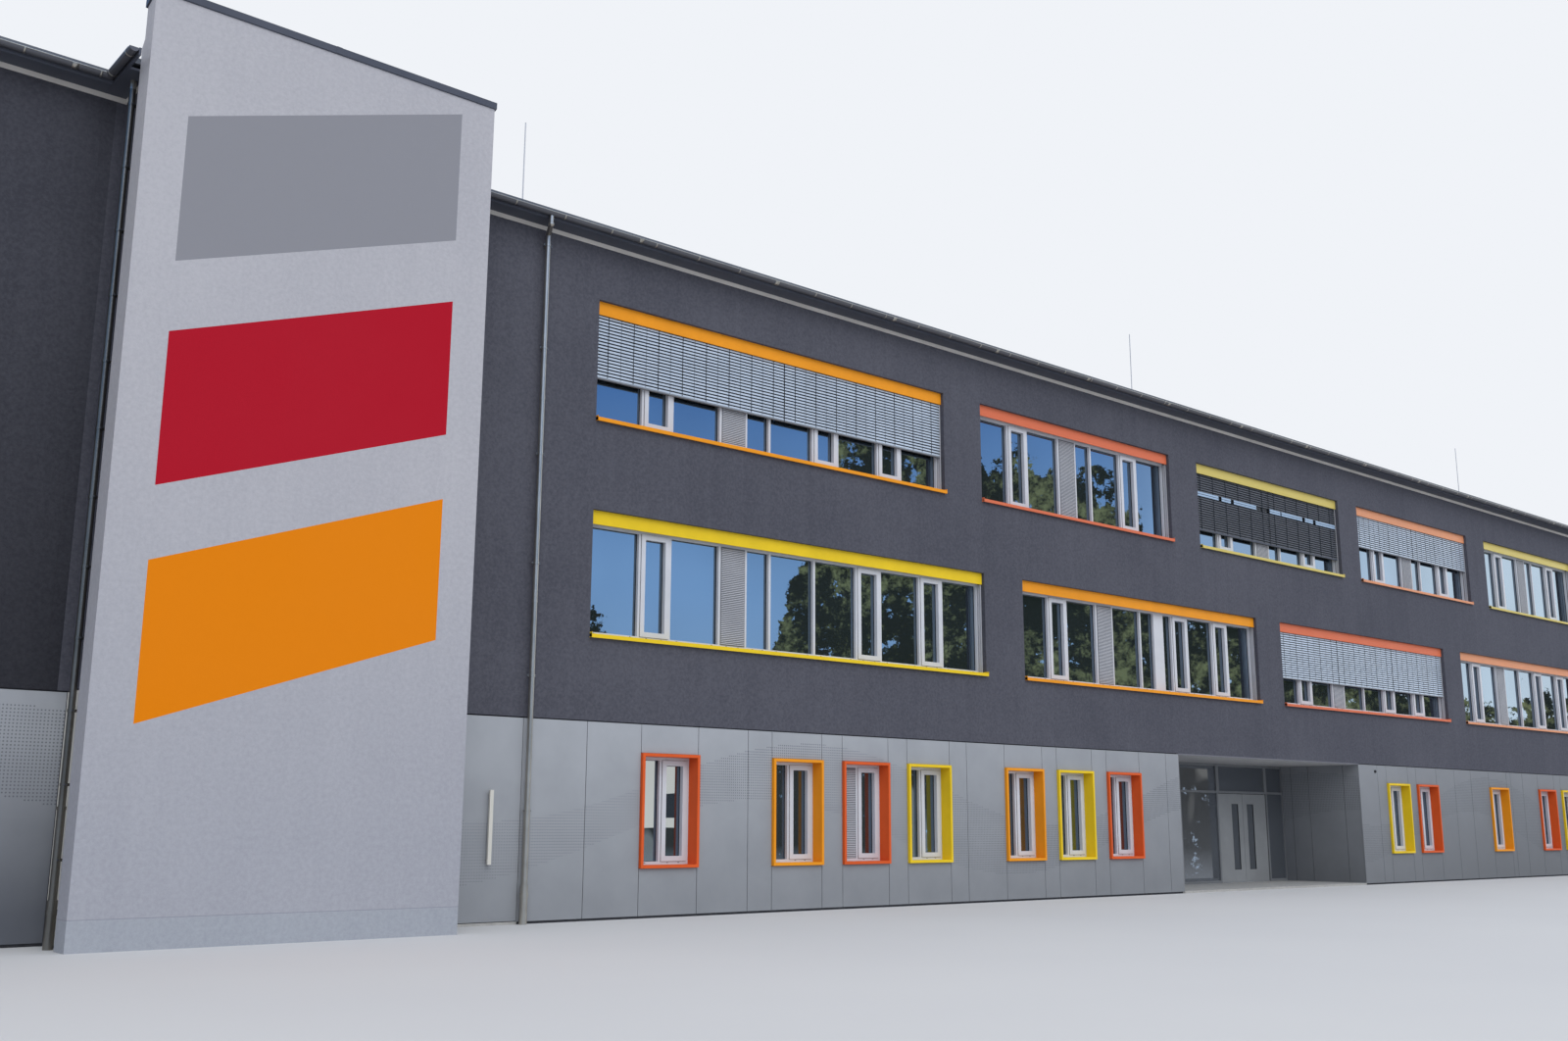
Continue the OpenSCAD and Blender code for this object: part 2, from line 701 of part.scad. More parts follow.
// Coloured trim: a folded band over each ribbon window, its sill, and the surrounds of the ground windows
module head_band(w, level) {
    face = band_back;
    bottom = band_z(level);
    top = head_z(level);
    profile([w[0], w[1]])
        polygon([[face, bottom], [face + band_lip, bottom], [face + band_lip, bottom + sheet_t],
            [face + sheet_t, bottom + sheet_t], [face + sheet_t, top - sheet_t],
            [face + band_d, top - sheet_t], [face + band_d, top], [face, top]]);
}
sill_fall = 5;
sill_drip = 6;
module window_sill(w, level) {
    profile([w[0], w[1]])
        polygon([[frame_back, open_z(level)], [frame_back, sill_z(level)],
            [-sill_out, sill_z(level) - sill_fall], [-sill_out, open_z(level) - sill_drip],
            [sill_drip - sill_out, open_z(level) - sill_drip], [sill_drip - sill_out, open_z(level)]]);
}
module surround(x) {
    upright([-surround_out, frame_back]) difference() {
        flat_box([x, x + low_win_w], [low_win_z, low_win_top]);
        flat_box([x + surround_t, x + low_win_w - surround_t],
            [low_win_z + surround_t, low_win_top - surround_t]);
    }
}
module trim(colour) {
    on_all_ribbons() if ($w[3] == colour) {
        head_band($w, $level);
        window_sill($w, $level);
    }
    on_all_low_windows() if ($colour == colour) surround($x);
}
module amber_trim() {
    color("orange") place() trim("amber");
}
module yellow_trim() {
    color("gold") place() trim("yellow");
}
module coral_trim() {
    color("orangered") place() trim("coral");
}
module salmon_trim() {
    color("darksalmon") place() trim("salmon");
}

// Lowered blinds, hung inside the head bands
slat_t = 3;
slat_lean = 9;
rail_h = 14;
blind_split = 6;
module closed_blind(x, top, bottom) {
    face = band_back + sheet_t + (band_d - slat_w) / 2;
    n = floor((top - bottom - rail_h) / slat_pitch);
    profile(x) union() {
        polygon([
            for (i = [0 : n - 1]) each [[face + slat_lean, top - i * slat_pitch],
                [face, top - (i + 1) * slat_pitch]],
            for (i = [n - 1 : -1 : 0]) each [[face + 2 * slat_t, top - (i + 1) * slat_pitch + slat_t],
                [face + slat_lean + 2 * slat_t, top - i * slat_pitch + slat_t]]]);
        translate([face, top - n * slat_pitch + slat_t - rail_h])
            square([slat_w, rail_h]);
        translate([face, top])
            square([slat_w, rail_h]);
    }
}
ladder_w = 4;
ladder_pitch = 280;
module open_blind(x, top, bottom) {
    face = band_back + sheet_t + (band_d - slat_w) / 2;
    n = floor((top - bottom - rail_h) / slat_pitch);
    ladders = round((x[1] - x[0]) / ladder_pitch);
    upright([face, face + slat_w]) {
        flat_box(x, [top, top + rail_h]);
        for (i = [1 : n])
            flat_box(x, [top - i * slat_pitch, top - i * slat_pitch + slat_t]);
        flat_box(x, [top - n * slat_pitch - rail_h, top - n * slat_pitch]);
        for (i = [0 : ladders - 1]) {
            ladder = x[0] + (i + 0.5) * (x[1] - x[0]) / ladders;
            flat_box([ladder, ladder + ladder_w], [top - n * slat_pitch, top]);
        }
    }
}
module blind(w, level) {
    top = head_z(level) - sheet_t - rail_h;
    bottom = sill_z(level) + win_h * (1 - w[4]);
    part_w = (w[1] - w[0]) / w[5];
    for (i = [0 : w[5] - 1]) {
        x = [w[0] + i * part_w + blind_split / 2, w[0] + (i + 1) * part_w - blind_split / 2];
        if (w[6]) open_blind(x, top, bottom);
        else closed_blind(x, top, bottom);
    }
}
module lowered_blinds() {
    color([0.72, 0.78, 0.84]) place() {
        for (w = front_first) if (w[4] > 0) blind(w, 1);
        for (w = front_second) if (w[4] > 0) blind(w, 2);
    }
}

// Eaves
board_seat = 60;
module eave_board(x, start_end, end_end) {
    block(x, [-eave_out, board_seat], [wall_top, wall_top + board_t]);
    block(x, [-eave_out, -eave_out + board_t], [wall_top, eave_z]);
    if (start_end) block([x[0], x[0] + board_t], [-eave_out, board_seat], [wall_top, eave_z]);
    if (end_end) block([x[1] - board_t, x[1]], [-eave_out, board_seat], [wall_top, eave_z]);
}
// The tower's eaves end at the slab's back, but on the left the fascia runs on beside the slab
tower_eave_front = [-tower_out - verge_out, -tower_out];
module tower_eave(side) {
    face = side < 0 ? tower_x : tower_right;
    edge = face + side * tower_eave_out;
    inside = face - side * board_seat;
    front = side < 0 ? tower_eave_front[0] : tower_eave_front[1];
    function span(a, b) = [min(a, b), max(a, b)];
    block(span(edge, inside), [-tower_out, board_seat], [wall_top, wall_top + board_t]);
    block(span(edge, edge - side * board_t), [front, -roof_edge], [wall_top, eave_z]);
    block(span(edge, edge - side * board_t), [-roof_edge, -eave_out - seam], [wall_top, roof_z]);
}
module soffit_boards() {
    color([0.3, 0.31, 0.34]) place() {
        eave_board([-eave_out, tower_eave_x[0] - seam], true, false);
        eave_board([tower_eave_x[1] + seam, length + eave_out], false, true);
        for (side = [-1, 1]) tower_eave(side);
        on_back() eave_board([-eave_out, length + eave_out], true, true);
        on_ends() eave_board([board_seat + seam, depth - board_seat - seam], false, false);
    }
}
module trim_strip(x) {
    block(x, [-trim_out, 0], [wall_top - trim_h, wall_top]);
}
module eaves_trim() {
    color("lightgray") place() {
        trim_strip([-trim_out, tower_x - trim_out - seam]);
        trim_strip([tower_right + trim_out + seam, length + trim_out]);
        on_back() trim_strip([-trim_out, length + trim_out]);
        on_ends() trim_strip([seam, depth - seam]);
        block([tower_x - trim_out, tower_x], [-tower_out, 0], [wall_top - trim_h, wall_top]);
        block([tower_right, tower_right + trim_out], [-tower_out, 0], [wall_top - trim_h, wall_top]);
    }
}

// Half-round gutters along the fascias, mitred at the corners
gutter_z = eave_z - 5;
// A length of gutter along x, with its ends cut back by 45 degrees: 1 at an outer corner, -1 at an inner one
module gutter_run(x, start_mitre, end_mitre) {
    reach = 2 * gutter_r;
    translate([0, 0, gutter_z]) difference() {
        profile([x[0] - reach, x[1] + reach])
            difference() {
                circle(r = gutter_r, $fn = 48);
                circle(r = gutter_r - zinc_t, $fn = 48);
                translate([-reach, 0])
                    square(2 * reach);
            }
        gutter_cut(x[0] + seam / 2, -1, start_mitre);
        gutter_cut(x[1] - seam / 2, 1, end_mitre);
    }
}
module gutter_cut(x, side, mitre) {
    reach = 4 * gutter_r;
    translate([x, 0, 0])
        rotate([0, 0, mitre * side * 45])
            translate([side < 0 ? -reach : 0, -reach, -reach])
                cube([reach, 2 * reach, 2 * reach]);
}
// A plate that closes the end of a gutter
module gutter_stop(x) {
    translate([0, 0, gutter_z])
        profile([x, x + zinc_t])
            difference() {
                circle(r = gutter_r, $fn = 48);
                translate([-2 * gutter_r, 0])
                    square(4 * gutter_r);
            }
}
tower_gutter_x = tower_eave_x + [-gutter_r, gutter_r];
module gutters() {
    color([0.6, 0.63, 0.66]) place() {
        translate([0, -gutter_axis, 0]) {
            gutter_run([-gutter_axis, tower_gutter_x[0]], 1, -1);
            gutter_run([tower_gutter_x[1], length + gutter_axis], -1, 1);
        }
        translate([tower_gutter_x[0], 0, 0])
            rotate([0, 0, -90]) {
                gutter_run([gutter_axis, -tower_eave_front[0]], -1, 0);
                gutter_stop(-tower_eave_front[0] - seam / 2 - zinc_t);
            }
        translate([tower_gutter_x[1], 0, 0])
            rotate([0, 0, 90]) {
                gutter_run([tower_eave_front[1], -gutter_axis], 0, -1);
                gutter_stop(tower_eave_front[1] + seam / 2);
            }
        on_back() translate([0, -gutter_axis, 0])
            gutter_run([-gutter_axis, length + gutter_axis], 1, 1);
        on_ends() translate([0, -gutter_axis, 0])
            gutter_run([-gutter_axis, depth + gutter_axis], 1, 1);
    }
}

// Downpipes: an outlet under the gutter, a sloping neck and the pipe down the wall
pipe_off = 50;
elbow_r = pipe_r + 3;
outlet_r = pipe_r - 3;
outlet_y = 5 - gutter_axis;
neck_top = gutter_z - gutter_r - 70;
neck_bottom = neck_top - 30;
module downpipe(start, foot) {
    run = [foot[0] - start[0], foot[1] - start[1], neck_bottom - neck_top];
    flat = norm([run[0], run[1]]);
    translate([start[0], start[1], neck_top]) {
        cylinder(r = outlet_r, h = gutter_z - gutter_r - neck_top, $fn = 32);
        sphere(r = elbow_r, $fn = 32);
        rotate([0, 0, atan2(run[1], run[0])])
            rotate([0, 90 + atan2(neck_top - neck_bottom, flat), 0])
                cylinder(r = pipe_r, h = norm(run), $fn = 32);
    }
    translate([foot[0], foot[1], neck_bottom])
        sphere(r = elbow_r, $fn = 32);
    translate([foot[0], foot[1], 0])
        cylinder(r = pipe_r, h = neck_bottom, $fn = 32);
}
front_pipe_x = 9490;
neck_shift = 60;
// The tower's pipe runs straight up to its eave
tower_pipe = [tower_x - pipe_off, -300];
back_pipes = [9700, length - end_pier];
module downpipes() {
    color([0.6, 0.63, 0.66]) place() {
        downpipe([front_pipe_x - neck_shift, outlet_y], [front_pipe_x, -pipe_off]);
        translate([tower_pipe[0], tower_pipe[1], 0])
            cylinder(r = pipe_r, h = wall_top, $fn = 32);
        on_back() for (x = back_pipes)
            downpipe([x, outlet_y], [x, -pipe_off]);
    }
}
clamp_h = 18;
clamp_levels = [215, 825, 1850, 2730, 3610, 4490, 5370];
tower_clamp_levels = [for (i = [0 : 11]) 508 + 443 * i];
module pipe_clamp(x, z) {
    translate([x, -pipe_off, z]) difference() {
        union() {
            cylinder(r = pipe_r + pin_play + zinc_t, h = clamp_h, $fn = 48);
            block([-pipe_r / 4, pipe_r / 4], [0, pipe_off], [0, clamp_h]);
        }
        translate([0, 0, -1])
            cylinder(r = pipe_r + pin_play, h = clamp_h + 2, $fn = 48);
    }
}
module pipe_clamps() {
    color([0.55, 0.57, 0.6]) place() {
        for (z = clamp_levels) {
            pipe_clamp(front_pipe_x, z);
            on_back() for (x = back_pipes) pipe_clamp(x, z);
        }
        translate([tower_x, tower_pipe[1], 0])
            rotate([0, 0, -90])
                for (z = tower_clamp_levels) pipe_clamp(0, z);
    }
}

// Hipped roof of four slopes
roof_over = 15;
roof_edge = eave_out + roof_over;
roof_rise = (depth / 2 + roof_edge) * tan(roof_pitch);
ridge_in = depth / 2;
// A slope over the four plan corners and heights of its underside, with a plumb thickness
module slope(corners) {
    n = len(corners);
    polyhedron(
        points = concat(corners, [for (c = corners) c + [0, 0, roof_t]]),
        faces = concat([[for (i = [0 : n - 1]) i]], [[for (i = [n - 1 : -1 : 0]) n + i]],
            [for (i = [0 : n - 1]) [(i + 1) % n, i, n + i, n + (i + 1) % n]]));
}
// The roof's underside meets the outer edges of the fascia boards
roof_z = eave_z - roof_over * tan(roof_pitch);
front_slope = [[-roof_edge, -roof_edge, roof_z], [length + roof_edge, -roof_edge, roof_z],
    [length - ridge_in, depth / 2, roof_z + roof_rise], [ridge_in, depth / 2, roof_z + roof_rise]];
hip_slope = [[-roof_edge, -roof_edge, roof_z], [depth + roof_edge, -roof_edge, roof_z],
    [depth / 2, ridge_in, roof_z + roof_rise]];
module roof_front() {
    color([0.4, 0.42, 0.45]) place() slope(front_slope);
}
module roof_back() {
    color([0.4, 0.42, 0.45]) place() on_back() slope(front_slope);
}
module roof_hips() {
    color([0.4, 0.42, 0.45]) place() on_ends() slope(hip_slope);
}
// Rods that stand over the front wall, each on a foot plate that lies on the slope
rod_places = [9265, 17450, 25635];
rod_foot_r = 20;
rod_foot_t = 8;
module lightning_rods() {
    surface = roof_z + roof_t + roof_edge * tan(roof_pitch);
    color("gray") place() for (x = rod_places)
        translate([x, 0, surface]) {
            rotate([roof_pitch, 0, 0])
                cylinder(r = rod_foot_r, h = rod_foot_t, $fn = 32);
            translate([0, 0, rod_foot_t / 2])
                cylinder(r = rod_r, h = rod_h, $fn = 16);
        }
}

ground_floor();
threshold_slabs();
first_floor();
second_floor();
top_ceiling();
ground_strips();
ground_piers();
render_strips();
render_piers();
end_ground_strips();
end_ground_piers();
end_render_strips();
end_render_piers();
tower_side_walls();
tower_slab();
tower_coping();
tower_roof();
recess_walls();
recess_ceiling();
entrance_side_frames();
entrance_head_frame();
entrance_glass();
entrance_leaf_left();
entrance_leaf_right();
leaf_glass_left();
leaf_glass_right();
service_door();
facade_panels();
window_frames();
window_glass();
louvre_panels();
lowered_blinds();
amber_trim();
yellow_trim();
coral_trim();
salmon_trim();
eaves_trim();
soffit_boards();
gutters();
downpipes();
pipe_clamps();
roof_front();
roof_back();
roof_hips();
lightning_rods();
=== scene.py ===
# School building of three storeys at half size: its finishes, and the small parts that the solids leave out.
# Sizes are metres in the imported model's frame: x along the front, y into the building, z up from the ground.
import json
import math

import bpy
import numpy as np
from mathutils import Matrix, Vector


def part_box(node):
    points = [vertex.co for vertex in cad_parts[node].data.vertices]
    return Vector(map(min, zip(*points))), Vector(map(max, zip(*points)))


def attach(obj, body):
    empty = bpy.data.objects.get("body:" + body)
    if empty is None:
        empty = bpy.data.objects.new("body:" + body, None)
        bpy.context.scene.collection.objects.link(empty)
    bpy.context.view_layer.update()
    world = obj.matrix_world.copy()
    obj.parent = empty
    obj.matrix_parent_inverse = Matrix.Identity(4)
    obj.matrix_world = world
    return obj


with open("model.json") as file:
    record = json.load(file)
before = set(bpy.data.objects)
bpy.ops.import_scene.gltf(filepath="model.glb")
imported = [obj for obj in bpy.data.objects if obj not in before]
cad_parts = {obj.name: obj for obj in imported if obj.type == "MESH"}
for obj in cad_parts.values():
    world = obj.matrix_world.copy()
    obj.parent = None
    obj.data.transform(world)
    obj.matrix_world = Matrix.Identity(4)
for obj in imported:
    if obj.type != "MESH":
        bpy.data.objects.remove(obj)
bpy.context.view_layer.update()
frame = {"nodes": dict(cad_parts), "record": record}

BUILDING = "building"
MM = 0.001
# Sides of the building, as quarter turns from the front
FRONT, RIGHT, BACK, LEFT = 0, 1, 2, 3

WALL_LO, WALL_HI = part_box("render_strips")
MIDDLE_Y = (WALL_LO.y + WALL_HI.y) / 2
FRONT_Y = WALL_LO.y
SLAB_LO, SLAB_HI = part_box("tower_slab")
ROOF_LO, ROOF_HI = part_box("roof_front")

# Windows, as in the part's source
SASH_W = 42 * MM
FRAME_T = 35 * MM
FRAME_BACK = 95 * MM
GASKET_W = 3.5 * MM
RIBBON_MIN_W = 1.0

# Shortest gutter that isn't one of the tower's returns
LONG_RUN = 1.0

BLACK = (0.0, 0.0, 0.0, 1.0)

# Camera: an eye 1.48 m above the ground of the real building, with a 34 mm lens
CAMERA_PLACE = (-11.5, -13.2675, 0.74)
CAMERA_LENS = 34.04
CAMERA_YAW = -40.671
CAMERA_PITCH = 11.579
CAMERA_ROLL = 0.194


# Helpers for node trees

def add(tree, kind, inputs=(), **settings):
    """A new node with its settings and inputs, where an input is a value or another node's output."""
    made = tree.nodes.new(kind)
    for key, value in settings.items():
        setattr(made, key, value)
    for key, value in dict(inputs).items():
        if isinstance(value, bpy.types.NodeSocket):
            tree.links.new(value, made.inputs[key])
        else:
            made.inputs[key].default_value = value
    return made


def calc(tree, operation, a, b=0.0, c=0.0):
    """The output of one math node."""
    return add(tree, "ShaderNodeMath", {0: a, 1: b, 2: c}, operation=operation).outputs[0]


def total(tree, operation, *values):
    """One operation over several values in turn."""
    result = values[0]
    for value in values[1:]:
        result = calc(tree, operation, result, value)
    return result


def times(tree, *values):
    """The product of several values."""
    return total(tree, "MULTIPLY", *values)


def under(tree, value, limit):
    """1 where a value is less than a limit, and 0 elsewhere."""
    return calc(tree, "LESS_THAN", value, limit)


def srgb(red, green, blue):
    """A colour given as a screen shows it, from 0 to 255, as the linear values that a shader takes."""
    def linear(v):
        """One part of the colour."""
        v /= 255
        return v / 12.92 if v <= 0.04045 else ((v + 0.055) / 1.055) ** 2.4
    return (linear(red), linear(green), linear(blue), 1.0)


def shaded(colour, share):
    """A colour brought down to that share of its light."""
    return tuple(share * c for c in colour[:3]) + (1.0,)


def noise(tree, place, scale, detail=3.0, rough=0.55):
    """Smooth noise from 0 to 1 at that many waves a metre."""
    inputs = {"Vector": place, "Scale": scale, "Detail": detail, "Roughness": rough}
    return add(tree, "ShaderNodeTexNoise", inputs).outputs["Fac"]


def spread(tree, value, low, high, to_low=0.0, to_high=1.0):
    """A value moved from one range to another, and kept in it."""
    inputs = {"Value": value, "From Min": low, "From Max": high, "To Min": to_low, "To Max": to_high}
    return add(tree, "ShaderNodeMapRange", inputs).outputs["Result"]


def mix(tree, share, a, b, blend="MIX"):
    """Two colours mixed."""
    made = add(tree, "ShaderNodeMix", {0: share, 6: a, 7: b}, data_type="RGBA", blend_type=blend)
    return made.outputs[2]


def start_material(name):
    """A material with its tree, its shader, and the place on the object."""
    made = bpy.data.materials.new(name)
    made.use_nodes = True
    tree = made.node_tree
    shader = tree.nodes["Principled BSDF"]
    place = add(tree, "ShaderNodeTexCoord").outputs["Object"]
    return made, tree, shader, place


def stretched(tree, place, x, y, z):
    """The place scaled along each direction."""
    return add(tree, "ShaderNodeMapping", {"Vector": place, "Scale": (x, y, z)}).outputs["Vector"]


def axes(tree, place):
    """The three parts of a place."""
    return add(tree, "ShaderNodeSeparateXYZ", {"Vector": place}).outputs


def tree_and_axes(parts):
    """The node tree of a surface, and the three parts of the place on the object."""
    _, tree, _, place, _ = parts
    return tree, axes(tree, place)


def tinted(parts, share, paint):
    """The material of a surface whose colour goes over to another paint by that share."""
    made, tree, shader, _, colour = parts
    tree.links.new(mix(tree, share, colour, paint), shader.inputs["Base Color"])
    return made


def finish(tree, shader, colour, height, depth, roughness):
    """Joins a colour, a bump of that depth in metres, and a roughness to the shader."""
    bump = add(tree, "ShaderNodeBump", {"Height": height, "Distance": depth, "Strength": 1.0})
    tree.links.new(bump.outputs["Normal"], shader.inputs["Normal"])
    tree.links.new(colour, shader.inputs["Base Color"])
    tree.links.new(roughness, shader.inputs["Roughness"])


def mineral(name, light, dark, grain, depth, patch=0.8, roughness=(0.75, 0.95), streak=0.0):
    """A mineral surface: tones in patches, weather streaks down the wall, and a grain of that size."""
    made, tree, shader, place = start_material(name)
    patches = noise(tree, place, patch, 4.0, 0.6)
    grains = noise(tree, place, 1 / grain, 2.0, 0.7)
    lumps = noise(tree, place, 0.2 / grain, 2.0, 0.7)
    streaks = noise(tree, stretched(tree, place, 9.0, 9.0, 0.35), 1.0, 3.0, 0.6)
    share = total(tree, "ADD", times(tree, patches, 0.3), times(tree, lumps, 0.4),
                  times(tree, grains, 0.3 - streak), times(tree, streaks, streak))
    colour = mix(tree, spread(tree, share, 0.4, 0.6), dark, light)
    finish(tree, shader, colour, grains, depth, spread(tree, patches, 0.3, 0.7, *roughness))
    shader.inputs["Specular IOR Level"].default_value = 0.15
    return made, tree, shader, place, colour


def coated(name, light, dark, roughness=(0.35, 0.5), metallic=0.0):
    """Coated or bare sheet metal: faint clouds, fine scratches and a little orange peel."""
    made, tree, shader, place = start_material(name)
    clouds = noise(tree, place, 3.0, 3.0, 0.6)
    scratches = noise(tree, stretched(tree, place, 40, 40, 400), 1.0, 2.0, 0.7)
    peel = noise(tree, place, 260.0, 1.0, 0.5)
    colour = mix(tree, spread(tree, clouds, 0.32, 0.68), dark, light)
    height = calc(tree, "ADD", times(tree, scratches, 0.4), times(tree, peel, 0.6))
    finish(tree, shader, colour, height, 0.15 * MM, spread(tree, clouds, 0.3, 0.7, *roughness))
    shader.inputs["Metallic"].default_value = metallic
    shader.inputs["Specular IOR Level"].default_value = 0.15
    return made, tree, shader, place, colour


# Materials

def render_coat():
    """Dark mineral render with a fine trowelled grain, with painted shade on the front of the left wing,
    deepest low down.
    """
    parts = mineral(
        "dark_render", srgb(90, 91, 100), srgb(74, 75, 84), 5 * MM, 1.2 * MM, 0.7, (0.8, 0.95), 0.12)
    tree, part = tree_and_axes(parts)
    # Painted shade on the front of the left wing: its colour goes towards black, most below 1.5 m and least
    # above 4.3 m.
    wing = times(tree, under(tree, part["X"], SLAB_LO.x), under(tree, part["Y"], FRONT_Y + 5 * MM))
    return tinted(parts, times(tree, wing, spread(tree, part["Z"], 1.5, 4.3, 0.64, 0.3)), BLACK)


def slab_plaster():
    """White plaster of the tower's slab, with a base course under a thin joint, and slanted fields."""
    base_joint, joint_w = 185 * MM, 4 * MM
    slope, half_w, half_h = 0.34, 0.98, 0.5
    # The height of each field's middle, and its paint
    fields = ((2.15, srgb(226, 128, 4)), (3.62, srgb(172, 16, 38)), (5.09, srgb(138, 139, 146)))
    made, tree, shader, place, colour = mineral(
        "white_plaster", srgb(182, 182, 188), srgb(170, 170, 177), 6 * MM, 1.0 * MM, 0.5, (0.7, 0.9), 0.1)
    part = axes(tree, place)
    foot = spread(tree, part["Z"], 0.6, 3.2, 1.0, 0.0)
    colour = mix(tree, foot, colour, srgb(236, 239, 243), "MULTIPLY")
    colour = mix(tree, under(tree, part["Z"], base_joint), colour, srgb(251, 255, 255), "MULTIPLY")
    joint = calc(tree, "COMPARE", part["Z"], base_joint, joint_w / 2)
    colour = mix(tree, joint, colour, srgb(140, 142, 152))
    across = calc(tree, "SUBTRACT", part["X"], (SLAB_LO.x + SLAB_HI.x) / 2)
    rise = calc(tree, "SUBTRACT", part["Z"], times(tree, across, slope))
    inside = calc(tree, "COMPARE", across, 0.0, half_w)
    on_face = under(tree, part["Y"], SLAB_LO.y + 1 * MM)
    for middle, paint in fields:
        band = calc(tree, "COMPARE", rise, middle, half_h)
        colour = mix(tree, times(tree, inside, on_face, band), colour, paint)
    tree.links.new(colour, shader.inputs["Base Color"])
    return made


def panel_coat():
    """Coated cladding panels, with painted shade low down, to the right and on the left wing, and dots between
    two waves.
    """
    pitch, hole, hole_depth = 22 * MM, 5.0 * MM, 0.6
    wave, swing, crest = 6.6, 0.345, WALL_LO.x + 12.45
    # The waves' middle heights, and how far the lower one's crest lies to the left
    high, low, lag = 1.10, 0.605, 0.6
    pull_out, skin_t, wing_end = 5 * MM, 30 * MM, SLAB_LO.x + 0.6
    made, tree, shader, place, colour = coated(
        "cladding", srgb(170, 174, 180), srgb(163, 167, 173), (0.5, 0.65))
    part = axes(tree, place)
    # Painted shade: the panels get darker towards the ground and towards the right.
    light = times(tree, spread(tree, part["Z"], 0.1, 1.5, 0.7),
                  spread(tree, part["X"], -5.5, 11.0, 1.0, 0.56))
    # Painted shade on the front of the left wing's panels, in a dark blue, deepest near the ground.
    wing = times(tree, under(tree, part["Y"], FRONT_Y + skin_t), under(tree, part["X"], wing_end))
    painted_wing_shade = times(tree, wing, spread(tree, part["Z"], 0.2, 1.3, 0.6, 0.1))
    colour = mix(tree, calc(tree, "SUBTRACT", 1.0, light), colour, BLACK)
    colour = mix(tree, painted_wing_shade, colour, srgb(18, 26, 48))
    colour = mix(tree, under(tree, part["Y"], FRONT_Y - pull_out), colour, srgb(212, 210, 202))
    facing = axes(tree, add(tree, "ShaderNodeTexCoord").outputs["Normal"])
    sideways = calc(tree, "GREATER_THAN", calc(tree, "ABSOLUTE", facing["X"]), 0.5)
    inputs = {0: sideways, 2: part["X"], 3: part["Y"]}
    along = add(tree, "ShaderNodeMix", inputs, data_type="FLOAT").outputs[0]

    def cell(value):
        """The middle of the cell that the value lies in."""
        number = calc(tree, "FLOOR", calc(tree, "DIVIDE", value, pitch))
        return times(tree, calc(tree, "ADD", number, 0.5), pitch)

    def edge(middle, shift):
        """The height of one wave at a cell."""
        turn = times(tree, calc(tree, "SUBTRACT", u, crest - shift), 2 * math.pi / wave)
        return calc(tree, "ADD", times(tree, calc(tree, "COSINE", turn), swing), middle)

    def squared(value, middle):
        """The square of how far a value is from a cell's middle."""
        return calc(tree, "POWER", calc(tree, "SUBTRACT", value, middle), 2.0)

    u, v = cell(along), cell(part["Z"])
    away = calc(tree, "POWER", calc(tree, "ADD", squared(along, u), squared(part["Z"], v)), 0.5)
    width = spread(tree, noise(tree, place, 0.45, 1.0), 0.3, 0.7, 0.75 * hole, 1.15 * hole)
    in_band = times(tree, under(tree, v, edge(high, 0.0)), calc(tree, "GREATER_THAN", v, edge(low, lag)))
    on_wall = calc(tree, "GREATER_THAN", part["Y"], FRONT_Y - pull_out)
    holes = times(tree, under(tree, away, width), in_band, on_wall, hole_depth)
    tree.links.new(mix(tree, holes, colour, srgb(70, 74, 84)), shader.inputs["Base Color"])
    return made


def soffit_board():
    """Ceiling boards of the recess, with an edge as dark as the wall above."""
    parts = coated("ceiling_board", srgb(190, 190, 192), srgb(181, 181, 184), (0.6, 0.75))
    tree, part = tree_and_axes(parts)
    return tinted(parts, under(tree, part["Y"], FRONT_Y + 15 * MM), srgb(110, 111, 118))


def pane_glass(name, tint, coat=0.95, roughness=0.002):
    """Sun-control glass: a tinted mirror coat over a grey body, with the slight waviness of large panes."""
    made, tree, shader, place = start_material(name)
    waves = noise(tree, place, 1.3, 1.0, 0.4)
    clouds = noise(tree, place, 0.9, 2.0, 0.5)
    colour = mix(tree, spread(tree, clouds, 0.35, 0.65), tint, shaded(tint, 0.9))
    finish(tree, shader, colour, waves, 0.5 * MM, spread(tree, clouds, 0.3, 0.7, roughness, 4 * roughness))
    shader.inputs["Metallic"].default_value = coat
    return made


def zinc_sheet():
    """Weathered zinc, with painted shade on the pipe in the corner behind the tower's slab."""
    parts = coated("zinc", srgb(172, 168, 160), srgb(150, 147, 141), (0.3, 0.38), 0.85)
    tree, part = tree_and_axes(parts)
    # Painted shade: the pipe in the slab's shadow is brought down to 40 percent of its colour.
    near_slab = calc(tree, "COMPARE", part["X"], SLAB_LO.x - 0.15, 0.25)
    corner = times(tree, near_slab, under(tree, part["Y"], FRONT_Y), under(tree, part["Z"], 5.5), 0.6)
    return tinted(parts, corner, BLACK)


def upper_paint(name, colour, pale, height):
    """Trim paint that is paler above a height."""
    parts = coated(name, colour, shaded(colour, 0.9), (0.35, 0.48))
    tree, part = tree_and_axes(parts)
    return tinted(parts, calc(tree, "GREATER_THAN", part["Z"], height), pale)


def roof_sheet():
    """Dull folded sheet of the roof."""
    return coated("roof_metal", srgb(106, 110, 117), srgb(98, 102, 109), (0.5, 0.62), 0.2)[0]


def plain_sheet(name, colour, roughness=(0.35, 0.5), metallic=0.0, depth=0.86):
    """Sheet or section in one colour, a little darker in clouds."""
    return coated(name, colour, shaded(colour, depth), roughness, metallic)[0]


def concrete(name, light, dark):
    """Plain concrete between two tones."""
    return mineral(name, light, dark, 8 * MM, 0.8 * MM, 1.5)[0]


